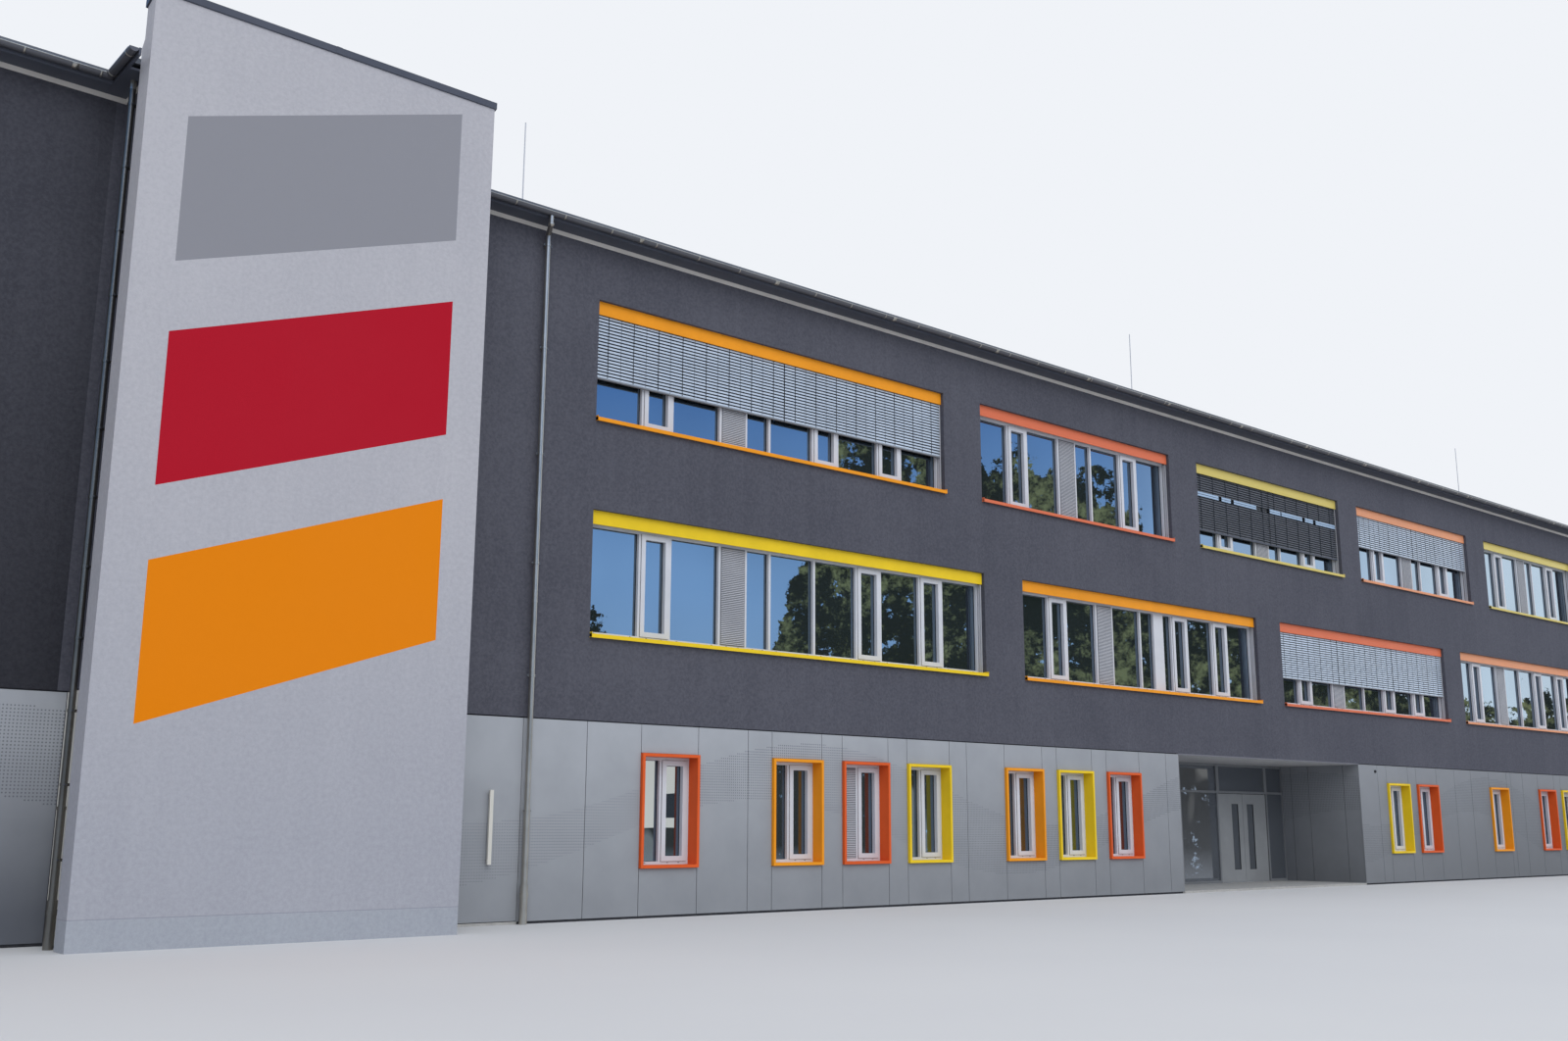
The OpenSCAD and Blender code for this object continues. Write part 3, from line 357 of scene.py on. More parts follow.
# Sheets in one colour: the colour, the roughness, and for some how metallic and how dark they get
PLAIN_SHEETS = {
    "dark_metal": (srgb(82, 86, 97), (0.4, 0.55)),
    "gutter_zinc": (srgb(96, 97, 103), (0.45, 0.6), 0.3),
    "trim_strip": (srgb(214, 210, 205), (0.5, 0.65)),
    "light_metal": (srgb(196, 198, 204), (0.35, 0.5), 0.1),
    # Darker greys for the entrance's leaves and frames: painted shade of the recess on their light metal.
    "door_painted_shade": (srgb(148, 151, 154), (0.45, 0.6)),
    "post_painted_shade": (srgb(126, 129, 133), (0.45, 0.6)),
    "window_white": (srgb(206, 209, 216), (0.3, 0.42), 0.0, 0.92),
    "louvre_grey": (srgb(188, 190, 196), (0.4, 0.55)),
    # Painted shade: the louvre panels' backs behind their slats, and the half-open blinds' slats.
    "painted_slat_shade": (srgb(112, 115, 122), (0.5, 0.65)),
    "blind_slats": (srgb(196, 208, 222), (0.35, 0.5), 0.1),
    "rail_grey": (srgb(134, 140, 148), (0.4, 0.55)),
    "painted_sky_light_slats": (srgb(160, 184, 210), (0.4, 0.55)),
    "blind_shade": (srgb(66, 71, 78), (0.5, 0.65)),
    "amber": (srgb(240, 154, 32), (0.35, 0.48), 0.0, 0.9),
    "salmon": (srgb(222, 150, 110), (0.35, 0.48), 0.0, 0.9),
    "gasket": (srgb(34, 35, 38), (0.6, 0.75)),
}
MATERIALS = {
    "floor_concrete": concrete("floor_concrete", srgb(176, 175, 172), srgb(158, 158, 156)),
    "wall_core": concrete("wall_core", srgb(70, 71, 76), srgb(56, 57, 62)),
    "dark_render": render_coat(),
    "white_plaster": slab_plaster(),
    "cladding": panel_coat(),
    "roof_metal": roof_sheet(),
    "zinc": zinc_sheet(),
    "ceiling_board": soffit_board(),
    "glass": pane_glass("glass", (0.2, 0.26, 0.32, 1.0)),
    "dark_glass": pane_glass("dark_glass", (0.2, 0.22, 0.25, 1.0), 0.6),
    "yellow": upper_paint("yellow", srgb(238, 203, 38), srgb(206, 188, 104), 3.6),
    "coral": upper_paint("coral", srgb(222, 94, 42), srgb(214, 112, 78), 1.6),
    **{name: plain_sheet(name, *values) for name, values in PLAIN_SHEETS.items()},
}
# Nodes whose finish isn't that of their slot in the record
OTHER_FINISH = {
    "eaves_trim": "trim_strip", "entrance_glass": "dark_glass", "louvre_panels": "painted_slat_shade",
    "lowered_blinds": "blind_shade", "gutters": "gutter_zinc",
    # The entrance's frames and leaves take darker greys than their light metal: painted shade of the recess.
    "entrance_side_frames": "post_painted_shade", "entrance_head_frame": "post_painted_shade",
    "entrance_leaf_left": "door_painted_shade", "entrance_leaf_right": "door_painted_shade",
}


def dress_nodes():
    """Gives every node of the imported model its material."""
    slots = {part["node"]: part["material_slot"] for part in frame["record"]["subparts"]}
    for name, thing in frame["nodes"].items():
        thing.data.materials.clear()
        thing.data.materials.append(MATERIALS[OTHER_FINISH.get(name, slots[name])])


# Geometry Nodes trees

def geo(tree, kind, inputs=(), **settings):
    """What a new node of a geometry tree gives first."""
    return add(tree, "GeometryNode" + kind, inputs, **settings).outputs[0]


def start_tree(name, **inputs):
    """A tree with a geometry input, named inputs and a geometry output."""
    tree = bpy.data.node_groups.new(name, "GeometryNodeTree")
    tree.interface.new_socket("Geometry", in_out="INPUT", socket_type="NodeSocketGeometry")
    for label, kind in {**inputs, "Material": "Material"}.items():
        tree.interface.new_socket(label, in_out="INPUT", socket_type="NodeSocket" + kind)
    tree.interface.new_socket("Geometry", in_out="OUTPUT", socket_type="NodeSocketGeometry")
    return tree, tree.nodes.new("NodeGroupInput").outputs


def end_tree(tree, given, geometry):
    """The tree's last nodes: copies made real, and their material."""
    real = geo(tree, "RealizeInstances", {"Geometry": geometry})
    dressed = geo(tree, "SetMaterial", {"Geometry": real, "Material": given["Material"]})
    tree.links.new(dressed, tree.nodes.new("NodeGroupOutput").inputs[0])
    return tree


def carried(tree, label, kind="FLOAT"):
    """A value that the points carry."""
    return add(tree, "GeometryNodeInputNamedAttribute", {"Name": label}, data_type=kind).outputs["Attribute"]


def vector(tree, x=0.0, y=0.0, z=0.0):
    """A vector made of three values."""
    return add(tree, "ShaderNodeCombineXYZ", {"X": x, "Y": y, "Z": z}).outputs[0]


def copies_on(tree, points, piece, turn=None, scale=None):
    """Copies of a piece on points, turned about the upright axis and scaled."""
    inputs = {"Points": points, "Instance": piece}
    if turn is not None:
        inputs["Rotation"] = turn
    if scale is not None:
        inputs["Scale"] = scale
    return geo(tree, "InstanceOnPoints", inputs)


def bar_tree():
    """Straight bars, each as long, deep and high as its point says."""
    tree, given = start_tree("bars")
    size = carried(tree, "size", "FLOAT_VECTOR")
    return end_tree(tree, given, copies_on(tree, given["Geometry"], geo(tree, "MeshCube"), None, size))


def slat_tree():
    """Leaning slats above each other, over the width and the height that each point carries."""
    tree, given = start_tree("slats", Pitch="Float", Depth="Float", Thickness="Float", Lean="Float",
                             Crown="Float")
    count = calc(tree, "FLOOR", calc(tree, "DIVIDE", carried(tree, "rise"), given["Pitch"]))
    copied = add(tree, "GeometryNodeDuplicateElements", {"Geometry": given["Geometry"], "Amount": count},
                 domain="POINT").outputs
    lift = times(tree, calc(tree, "ADD", copied["Duplicate Index"], 0.5), given["Pitch"])
    raised = geo(tree, "SetPosition", {"Geometry": copied["Geometry"], "Offset": vector(tree, z=lift)})
    sheet = geo(tree, "MeshGrid", {"Size X": 1.0, "Size Y": given["Depth"], "Vertices X": 2, "Vertices Y": 5})
    place = axes(tree, geo(tree, "InputPosition"))
    off = calc(tree, "DIVIDE", place["Y"], times(tree, given["Depth"], 0.5))
    bow = times(tree, calc(tree, "SUBTRACT", 1.0, times(tree, off, off)), given["Crown"])
    curved = geo(tree, "SetPosition", {"Geometry": sheet, "Offset": vector(tree, z=bow)})
    top = geo(tree, "ExtrudeMesh", {"Mesh": curved, "Offset Scale": given["Thickness"], "Individual": False})
    closed = tree.nodes.new("GeometryNodeJoinGeometry")
    for face in (top, geo(tree, "FlipFaces", {"Mesh": curved})):
        tree.links.new(face, closed.inputs[0])
    slat = geo(tree, "MergeByDistance", {"Geometry": closed.outputs[0], "Distance": 0.01 * MM})
    leaning = geo(tree, "Transform", {"Geometry": slat, "Rotation": vector(tree, x=given["Lean"])})
    slats = copies_on(tree, raised, leaning, vector(tree, z=carried(tree, "turn")),
                      vector(tree, carried(tree, "span"), 1.0, 1.0))
    return end_tree(tree, given, slats)


def strap_tree():
    """Half rings hung at a spacing along straight runs."""
    tree, given = start_tree("straps", Spacing="Float", Radius="Float", Width="Float", Thickness="Float")
    runs = geo(tree, "MeshToCurve", {"Mesh": given["Geometry"]})
    spaced = geo(tree, "ResampleCurve", {"Curve": runs, "Length": given["Spacing"]}, mode="LENGTH")
    arc = geo(tree, "CurveArc", {"Resolution": 13, "Radius": given["Radius"], "Start Angle": math.pi,
                                 "Sweep Angle": math.pi}, mode="RADIUS")
    section = geo(tree, "CurvePrimitiveQuadrilateral",
                  {"Width": given["Thickness"], "Height": given["Width"]})
    strap = geo(tree, "CurveToMesh", {"Curve": arc, "Profile Curve": section, "Fill Caps": True})
    upright = geo(tree, "Transform", {"Geometry": strap, "Rotation": (math.pi / 2, 0.0, 0.0)})
    return end_tree(tree, given, copies_on(tree, spaced, upright, vector(tree, z=carried(tree, "turn"))))


def rod_tree():
    """Round stock along each path."""
    tree, given = start_tree("rods", Radius="Float", Sides="Int")
    path = geo(tree, "MeshToCurve", {"Mesh": given["Geometry"]})
    section = geo(tree, "CurvePrimitiveCircle", {"Resolution": given["Sides"], "Radius": given["Radius"]})
    rod = geo(tree, "CurveToMesh", {"Curve": path, "Profile Curve": section, "Fill Caps": True})
    return end_tree(tree, given, rod)


def ring_tree():
    """Upright round pieces, each as wide and high as its point says."""
    tree, given = start_tree("rings", Sides="Int")
    round_bar = geo(tree, "MeshCylinder", {"Vertices": given["Sides"], "Radius": 0.5, "Depth": 1.0})
    size = carried(tree, "size", "FLOAT_VECTOR")
    return end_tree(tree, given, copies_on(tree, given["Geometry"], round_bar, None, size))


def seam_tree():
    """Standing seams up a slope from its eaves edge, each ending where the hips or the ridge cut it."""
    tree, given = start_tree("seams", Spacing="Float", Width="Float", Height="Float", Pitch="Float",
                             Reach="Float", Start="Float")
    eaves = geo(tree, "MeshToCurve", {"Mesh": given["Geometry"]})
    spaced = geo(tree, "ResampleCurve", {"Curve": eaves, "Length": given["Spacing"]}, mode="LENGTH")
    gone = add(tree, "GeometryNodeSplineParameter").outputs["Length"]
    ahead = calc(tree, "SUBTRACT", add(tree, "GeometryNodeSplineLength").outputs["Length"], gone)
    plan = calc(tree, "SUBTRACT", total(tree, "MINIMUM", gone, ahead, given["Reach"]), given["Start"])
    length = calc(tree, "MAXIMUM", calc(tree, "DIVIDE", plan, calc(tree, "COSINE", given["Pitch"])), 1 * MM)
    bar = geo(tree, "MeshCube", {"Size": vector(tree, given["Width"], 1.0, given["Height"])})
    middle = vector(tree, y=0.5, z=times(tree, given["Height"], 0.5))
    seam = geo(tree, "Transform", {"Geometry": bar, "Translation": middle})
    turn = carried(tree, "turn")
    inwards = vector(tree, times(tree, calc(tree, "SINE", turn), -1.0), calc(tree, "COSINE", turn),
                     calc(tree, "TANGENT", given["Pitch"]))
    step = add(tree, "ShaderNodeVectorMath", {0: inwards, "Scale": given["Start"]}, operation="SCALE")
    lengthened = add(tree, "GeometryNodeCaptureAttribute", {"Geometry": spaced})
    lengthened.capture_items.new("FLOAT", "Reach")
    tree.links.new(length, lengthened.inputs[1])
    starts = geo(tree, "SetPosition", {"Geometry": lengthened.outputs[0], "Offset": step.outputs[0]})
    seams = copies_on(tree, starts, seam, vector(tree, given["Pitch"], 0.0, turn),
                      vector(tree, 1.0, lengthened.outputs[1], 1.0))
    return end_tree(tree, given, seams)


BARS, SLATS, STRAPS = bar_tree(), slat_tree(), strap_tree()
RODS, RINGS, SEAMS = rod_tree(), ring_tree(), seam_tree()


def linked(name, data):
    """A new object in the scene."""
    made = bpy.data.objects.new(name, data)
    bpy.context.scene.collection.objects.link(made)
    return made


def base_mesh(places, edges=(), **fields):
    """Points or edges for a tree, with the values that the points carry."""
    mesh = bpy.data.meshes.new("base")
    mesh.from_pydata([tuple(p) for p in places], list(edges), [])
    for label, values in fields.items():
        values = np.array(values, float)
        kind, key = ("FLOAT_VECTOR", "vector") if values.ndim == 2 else ("FLOAT", "value")
        mesh.attributes.new(label, kind, "POINT").data.foreach_set(key, values.ravel())
    return mesh


def grow(name, tree, mesh, finish_name, body=BUILDING, slot=None, **values):
    """The piece that a tree makes from a base mesh, as a plain mesh that rides on a body."""
    base = linked("base", mesh)
    modifier = base.modifiers.new("tree", "NODES")
    modifier.node_group = tree
    sockets = {item.name: item.identifier for item in tree.interface.items_tree if item.in_out == "INPUT"}
    for label, value in {**values, "Material": MATERIALS[finish_name]}.items():
        modifier[sockets[label]] = value
    made = bpy.data.meshes.new_from_object(base.evaluated_get(bpy.context.evaluated_depsgraph_get()))
    bpy.data.objects.remove(base)
    piece = linked(name, made)
    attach(piece, body)


def bars(name, boxes, finish_name, body=BUILDING, slot=None):
    """One piece of straight bars, from their lowest and highest corners."""
    corners = np.sort(np.array(boxes, float), axis=1)
    mesh = base_mesh(corners.mean(1), size=corners[:, 1] - corners[:, 0])
    grow(name, BARS, mesh, finish_name, body, slot)


def plate(name, outline, start, end, finish_name):
    """A sheet or section with that outline in y and z, from one x to the other."""
    n = len(outline)
    places = [(x, y, z) for x in (start, end) for y, z in outline]
    faces = [tuple(range(n)), tuple(range(2 * n - 1, n - 1, -1))]
    faces += [((i + 1) % n, i, n + i, n + (i + 1) % n) for i in range(n)]
    mesh = bpy.data.meshes.new(name)
    mesh.from_pydata(places, [], faces)
    mesh.materials.append(MATERIALS[finish_name])
    piece = linked(name, mesh)
    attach(piece, BUILDING)


def edges_mesh(runs, **fields):
    """A base mesh of separate straight edges, with one value for each edge and field."""
    places = [p for run in runs for p in run]
    doubled = {label: np.repeat(values, 2) for label, values in fields.items()}
    return base_mesh(places, [(2 * i, 2 * i + 1) for i in range(len(runs))], **doubled)


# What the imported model's nodes say about places

def turned(points, quarters):
    """Points turned about the upright axis by that many quarter turns."""
    c, s = [(1, 0), (0, 1), (-1, 0), (0, -1)][quarters % 4]
    x, y, z = np.array(points, float).T
    return np.stack([c * x - s * y, s * x + c * y, z], axis=-1)


def solids(node):
    """The points of each separate solid of a node."""
    mesh = frame["nodes"][node].data
    co = np.empty(3 * len(mesh.vertices))
    mesh.vertices.foreach_get("co", co)
    corner = np.empty(len(mesh.loops), int)
    mesh.loops.foreach_get("vertex_index", corner)
    points, same = np.unique(co.reshape(-1, 3).round(4), axis=0, return_inverse=True)
    triangles = same.ravel()[corner].reshape(-1, 3)
    group = np.arange(len(points))
    while True:
        lowest = group[triangles].min(1)
        after = group.copy()
        np.minimum.at(after, triangles.ravel(), np.repeat(lowest, 3))
        after = after[after]
        if (after == group).all():
            break
        group = after
    return [points[group == g] for g in np.unique(group)]


def side_of(points):
    """The side of the building that a flat solid lies on."""
    size, middle = np.ptp(points, axis=0), (points.min(0) + points.max(0)) / 2
    if size[0] > size[1]:
        return FRONT if middle[1] < MIDDLE_Y else BACK
    return RIGHT if middle[0] > 0 else LEFT


def local_boxes(node):
    """Each solid of a node as its side and its corners, seen as if it lay on the front."""
    found = []
    for points in solids(node):
        side = side_of(points)
        there = turned(points, -side)
        found.append((side, there.min(0), there.max(0)))
    return found


def placed(side, boxes):
    """Boxes given as if on the front, put on their side."""
    return [np.sort(turned(box, side), axis=0) for box in boxes]


def frames():
    """Each window frame: its side, its corners and its fields, as (left, right, bottom, top, has a sash)."""
    found = []
    for points in solids("window_frames"):
        side = side_of(points)
        there = turned(points, -side).round(4)
        levels = np.unique(there[:, 2])
        bottom, top = levels[1], levels[-2]
        lefts = np.unique(there[there[:, 2] == bottom, 0])
        inner = set(np.unique(there[np.isclose(there[:, 2], bottom + SASH_W, atol=2e-4), 0]))
        fields = []
        for a, b in zip(lefts[::2], lefts[1::2]):
            has_sash = any(abs(a + SASH_W - x) < 3e-4 for x in inner)
            fields.append((a, b, bottom, top, has_sash))
        found.append((side, there.min(0), there.max(0), fields))
    return found


FRAMES = frames()
LOUVRES = local_boxes("louvre_panels")


def is_louvre(side, a, b, bottom, top):
    """Whether a louvre panel fills this field."""
    return any(s == side and lo[0] < (a + b) / 2 < hi[0] and lo[2] < (bottom + top) / 2 < hi[2]
               for s, lo, hi in LOUVRES)


def panes():
    """The glass fields of all windows: side, left, right, bottom, top, and the depth of the glass's face."""
    found = []
    for side, _, high, fields in FRAMES:
        for a, b, bottom, top, has_sash in fields:
            if is_louvre(side, a, b, bottom, top):
                continue
            inset = SASH_W if has_sash else 0.0
            found.append((side, a + inset, b - inset, bottom + inset, top - inset, high[1]))
    return found


def ring(a, b, bottom, top, near, far, width):
    """Four bars that line a rectangular opening."""
    return [((a, near, bottom), (a + width, far, top)), ((b - width, near, bottom), (b, far, top)),
            ((a + width, near, bottom), (b - width, far, bottom + width)),
            ((a + width, near, top - width), (b - width, far, top))]


# Windows

def window_gaskets():
    """Dark gaskets that hold the panes."""
    boxes = []
    for side, a, b, bottom, top, glass in panes():
        boxes += placed(side, ring(a, b, bottom, top, glass - 4 * MM, glass - 0.3 * MM, GASKET_W))
    bars("window_gaskets", boxes, "gasket")


def sash_seals():
    """Dark lines where the opening sashes meet their frame."""
    boxes = []
    for side, _, high, fields in FRAMES:
        face = high[1] - FRAME_T
        for a, b, bottom, top, has_sash in fields:
            if has_sash:
                boxes += placed(side, ring(a - 2 * MM, b + 2 * MM, bottom - 2 * MM, top + 2 * MM,
                                           face - 2 * MM, face + 1 * MM, 2 * MM))
    bars("sash_seals", boxes, "gasket")


def drain_caps():
    """Small caps over the drain slots in the lower frame members."""
    cap_w, cap_h, cap_t, inset, drop = 16 * MM, 4 * MM, 2 * MM, 70 * MM, 12 * MM
    boxes = []
    for side, _, high, fields in FRAMES:
        face = high[1] - FRAME_T
        for a, b, bottom, _, _ in fields:
            for x in (a + inset, b - inset):
                if b - a > 3 * inset or x < (a + b) / 2:
                    z = bottom - drop
                    boxes += placed(side, [((x - cap_w / 2, face - cap_t, z),
                                            (x + cap_w / 2, face + cap_t, z + cap_h))])
    bars("drain_caps", boxes, "gasket")


def blind_guides():
    """Channels in which the blinds run, at both ends of every ribbon window."""
    web, flange, near, far = 2.5 * MM, 14 * MM, 47 * MM, 82 * MM
    foot, over = 30 * MM, 12 * MM
    boxes = []
    for side, low, high, fields in FRAMES:
        if high[0] - low[0] < RIBBON_MIN_W:
            continue
        wall = high[1] - FRAME_T - FRAME_BACK
        bottom, top = low[2] + foot, fields[0][3] + over
        for end, way in ((low[0], 1), (high[0], -1)):
            for x, y0, y1 in ((web, near, far), (flange, near, near + web), (flange, far - web, far)):
                boxes += placed(side, [((end, wall + y0, bottom), (end + way * x, wall + y1, top))])
    bars("blind_guides", boxes, "light_metal")


def louvre_slats():
    """Slats on the louvre panels."""
    places, span, rise, turn = [], [], [], []
    margin = 6 * MM
    for side, low, high in LOUVRES:
        places.append(turned([((low[0] + high[0]) / 2, low[1] + 1 * MM, low[2] + margin)], side)[0])
        span.append(high[0] - low[0] - 2 * margin)
        rise.append(high[2] - low[2] - 2 * margin)
        turn.append(side * math.pi / 2)
    grow("louvre_slats", SLATS, base_mesh(places, span=span, rise=rise, turn=turn), "louvre_grey",
         Pitch=15.5 * MM, Depth=12.8 * MM, Thickness=1.2 * MM, Lean=math.radians(62), Crown=0.7 * MM)


def blinds():
    """Light slats in front of the shut blinds' sheets, painted dark as shade between slats, and the rails and
    cords of all lowered blinds.
    """
    pitch, lean, slat_w, rail_h, ladder_pitch = 29 * MM, 9 * MM, 19 * MM, 14 * MM, 275 * MM
    rail_seat, split, tape, cord, cord_drop = 11 * MM, 6 * MM, 6 * MM, 2 * MM, 20 * MM
    angle = math.atan2(pitch, lean)
    visible = slat_w * math.sin(angle) / 2
    places, span, rise, rails, dark_rails, cords, open_boxes = [], [], [], [], [], [], []
    sheets = solids("lowered_blinds")
    starts = {tuple(points.min(0)[[0, 2]].round(3)) for points in sheets}
    for points in sheets:
        low, high = points.min(0), points.max(0)
        is_open = len(np.unique(points[:, 0].round(4))) > 2
        (dark_rails if is_open else rails).append(((low[0] - 0.5 * MM, low[1] - 2 * MM, low[2] - 1 * MM),
                                                   (high[0] + 0.5 * MM, high[1] + 1 * MM, low[2] + rail_h)))
        if (round(high[0] + split, 3), round(low[2], 3)) in starts:
            cords.append(((high[0] - 1 * MM, low[1] - 4 * MM, low[2]),
                          (high[0] + split + 1 * MM, low[1] - 2.5 * MM, high[2] - cord_drop)))
        if is_open:
            open_boxes.append((low, high))
            continue
        foot = low[2] + rail_seat
        out = low[1] + lean * visible / pitch - 1.5 * MM
        places.append(((low[0] + high[0]) / 2, out, foot + visible - pitch / 2))
        span.append(high[0] - low[0])
        rise.append(high[2] - rail_h - foot + 1 * MM)
        count = max(2, round((high[0] - low[0]) / ladder_pitch))
        for i in range(2 * count - 1):
            x = low[0] + (i + 1) * (high[0] - low[0]) / (2 * count)
            w = tape if i % 2 == 0 else cord
            cords.append(((x - w / 2, low[1] - 3 * MM, low[2] + rail_h),
                          (x + w / 2, low[1] - 2 * MM, high[2] - cord_drop)))
    mesh = base_mesh(places, span=span, rise=rise, turn=[0.0] * len(places))
    grow("blind_slats", SLATS, mesh, "blind_slats",
         Pitch=pitch, Depth=slat_w, Thickness=0.8 * MM, Lean=angle, Crown=1 * MM)
    bars("blind_rails", rails, "rail_grey")
    bars("dark_rails", dark_rails, "dark_metal")
    bars("blind_cords", cords, "gasket")
    open_slats(open_boxes, pitch, rail_h)


def open_slats(boxes, pitch, rail_h):
    """The leaning slats of the half-open blinds: dark with painted shade, and one row in front of the panes
    painted pale blue as sky light.
    """
    slat_w, lower_share, row = 24 * MM, 0.5, 2
    dark, light = [], []
    for low, high in boxes:
        count = round((high[2] - low[2] - 2 * rail_h) / pitch)
        lower = round(lower_share * count)
        y, foot = (low[1] + high[1]) / 2, low[2] + rail_h + 1.5 * MM
        x, width = (low[0] + high[0]) / 2, high[0] - low[0]
        row_z = foot + lower * pitch
        dark += [(x, y, foot, width, lower), (x, y, row_z + row * pitch, width, count - lower - row)]
        for side, a, b, bottom, top, _ in panes():
            a, b = max(a, low[0]), min(b, high[0])
            if side == FRONT and b > a and bottom < row_z < top:
                light.append(((a + b) / 2, low[1] - 2.5 * MM, row_z, b - a, row))
    # Most slats take the painted shade; the one row in front of the panes takes the pale blue of painted sky
    # light.
    kinds = (("open_slats", dark, "painted_slat_shade", 58), ("light_row", light, "painted_sky_light_slats", 82))
    for name, rows, finish_name, lean in kinds:
        rows = np.array(rows)
        mesh = base_mesh(rows[:, :3], span=rows[:, 3], rise=(rows[:, 4] + 0.1) * pitch, turn=0 * rows[:, 3])
        grow(name, SLATS, mesh, finish_name,
             Pitch=pitch, Depth=slat_w, Thickness=0.8 * MM, Lean=math.radians(lean), Crown=1 * MM)


def sill_ends():
    """Upstands at both ends of the sills."""
    sill_most_h, end_t, end_rise = 50 * MM, 3 * MM, 9 * MM
    for colour in ("amber", "yellow", "coral", "salmon"):
        boxes = []
        for side, low, high in local_boxes(colour + "_trim"):
            if high[2] - low[2] > sill_most_h:
                continue
            for end, way in ((low[0], 1), (high[0], -1)):
                boxes += placed(side, [((end, low[1] - 1 * MM, low[2]),
                                        (end + way * end_t, high[1] - 2 * MM, high[2] + end_rise))])
        bars(colour + "_sill_ends", boxes, colour)


# Roof edge

def gutter_runs():
    """Each straight gutter: the ends of its axis, the way outwards, and the turn of what hangs on it."""
    tower_x = (SLAB_LO.x + SLAB_HI.x) / 2
    found = []
    for points in solids("gutters"):
        lo, hi = points.min(0), points.max(0)
        size, middle = hi - lo, (lo + hi) / 2
        if size[0] > size[1]:
            out = (0, -1 if middle[1] < MIDDLE_Y else 1)
            ends = [(lo[0], middle[1], hi[2]), (hi[0], middle[1], hi[2])]
            turn = 0.0
        else:
            out = (math.copysign(1, middle[0] - (tower_x if size[1] < LONG_RUN else 0.0)), 0)
            ends = [(middle[0], lo[1], hi[2]), (middle[0], hi[1], hi[2])]
            turn = math.pi / 2
        found.append((ends, out, turn))
    return found


def gutter_parts():
    """Brackets, sleeves over the joints and the rolled front edge of the gutters."""
    radius, lip_r = 30 * MM, 4 * MM
    runs = gutter_runs()
    # Each kind's name, its distance from the run's ends, its spacing, its width and its thickness
    kinds = (("gutter_brackets", 90 * MM, 0.45, 12 * MM, 2.5 * MM),
             ("gutter_sleeves", 250 * MM, 1.5, 42 * MM, 1.6 * MM))

    def shortened(ends, gap):
        """The ends of a run, each moved inwards by the gap."""
        a, b = np.array(ends[0]), np.array(ends[1])
        step = (b - a) / np.linalg.norm(b - a) * gap
        return (a + step, b - step)

    for name, gap, spacing, width, thickness in kinds:
        long_runs = [r for r in runs if np.linalg.norm(np.subtract(*r[0])) > 2 * gap + 50 * MM]
        turns = [r[2] + math.pi / 2 for r in long_runs]
        mesh = edges_mesh([shortened(r[0], gap) for r in long_runs], turn=turns)
        grow(name, STRAPS, mesh, "zinc", Spacing=spacing, Radius=radius + thickness / 2, Width=width,
             Thickness=thickness)
    lips = []
    for ends, out, _ in runs:
        shift = np.array((out[0], out[1], 0.0)) * (radius - 1 * MM)
        a, b = shortened(ends, 30 * MM if np.ptp(ends, axis=0).max() < LONG_RUN else 2 * MM)
        lips.append((a + shift, b + shift))
    grow("gutter_lips", RODS, edges_mesh(lips), "zinc", Radius=lip_r, Sides=10)


def roof_seams():
    """Standing seams on the slopes, and caps on the ridge and the hips."""
    roof_t, seam_pitch, seam_foot, cap_r = 40 * MM, 0.265, 0.15, 16 * MM
    edge, far = ROOF_LO.x, -ROOF_LO.x
    front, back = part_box("roof_front")[0].y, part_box("roof_back")[1].y
    reach = (back - front) / 2
    eave_z = ROOF_LO.z + roof_t
    pitch = math.atan((ROOF_HI.z - roof_t - ROOF_LO.z) / reach)
    corners = [(edge, front, eave_z), (far, front, eave_z), (far, back, eave_z), (edge, back, eave_z)]
    eaves = list(zip(corners, corners[1:] + corners[:1]))
    turns = [side * math.pi / 2 for side in (FRONT, RIGHT, BACK, LEFT)]
    grow("roof_seams", SEAMS, edges_mesh(eaves, turn=turns), "roof_metal",
         Spacing=seam_pitch, Width=8 * MM, Height=9 * MM, Pitch=pitch, Reach=reach, Start=seam_foot)
    ridge = [(x, (front + back) / 2, ROOF_HI.z) for x in (edge + reach, far - reach)]
    caps = [tuple(ridge)] + [(corner, ridge[0] if corner[0] < 0 else ridge[1]) for corner in corners]
    grow("ridge_caps", RODS, edges_mesh(caps), "roof_metal", Radius=cap_r, Sides=12)


# Walls

def pipe_sleeves():
    """Sleeves over the joints of the downpipes, and their stouter foot lengths and standpipes."""
    foot_h, stand_h = 820 * MM, 285 * MM
    # The height of each one's middle, its length and its radius
    rounds = ((foot_h / 2, foot_h, 24 * MM), (foot_h, 22 * MM, 27 * MM), (stand_h / 2, stand_h, 30 * MM),
              (0.215, 34 * MM, 34 * MM), (2.44, 24 * MM, 23 * MM), (4.08, 24 * MM, 23 * MM))
    places, sizes = [], []
    for points in solids("downpipes"):
        foot = points[points[:, 2] < 1 * MM]
        x, y, _ = (foot.min(0) + foot.max(0)) / 2
        for z, height, radius in rounds:
            places.append((x, y, z))
            sizes.append((2 * radius, 2 * radius, height))
    grow("pipe_sleeves", RINGS, base_mesh(places, size=sizes), "zinc", Sides=28)


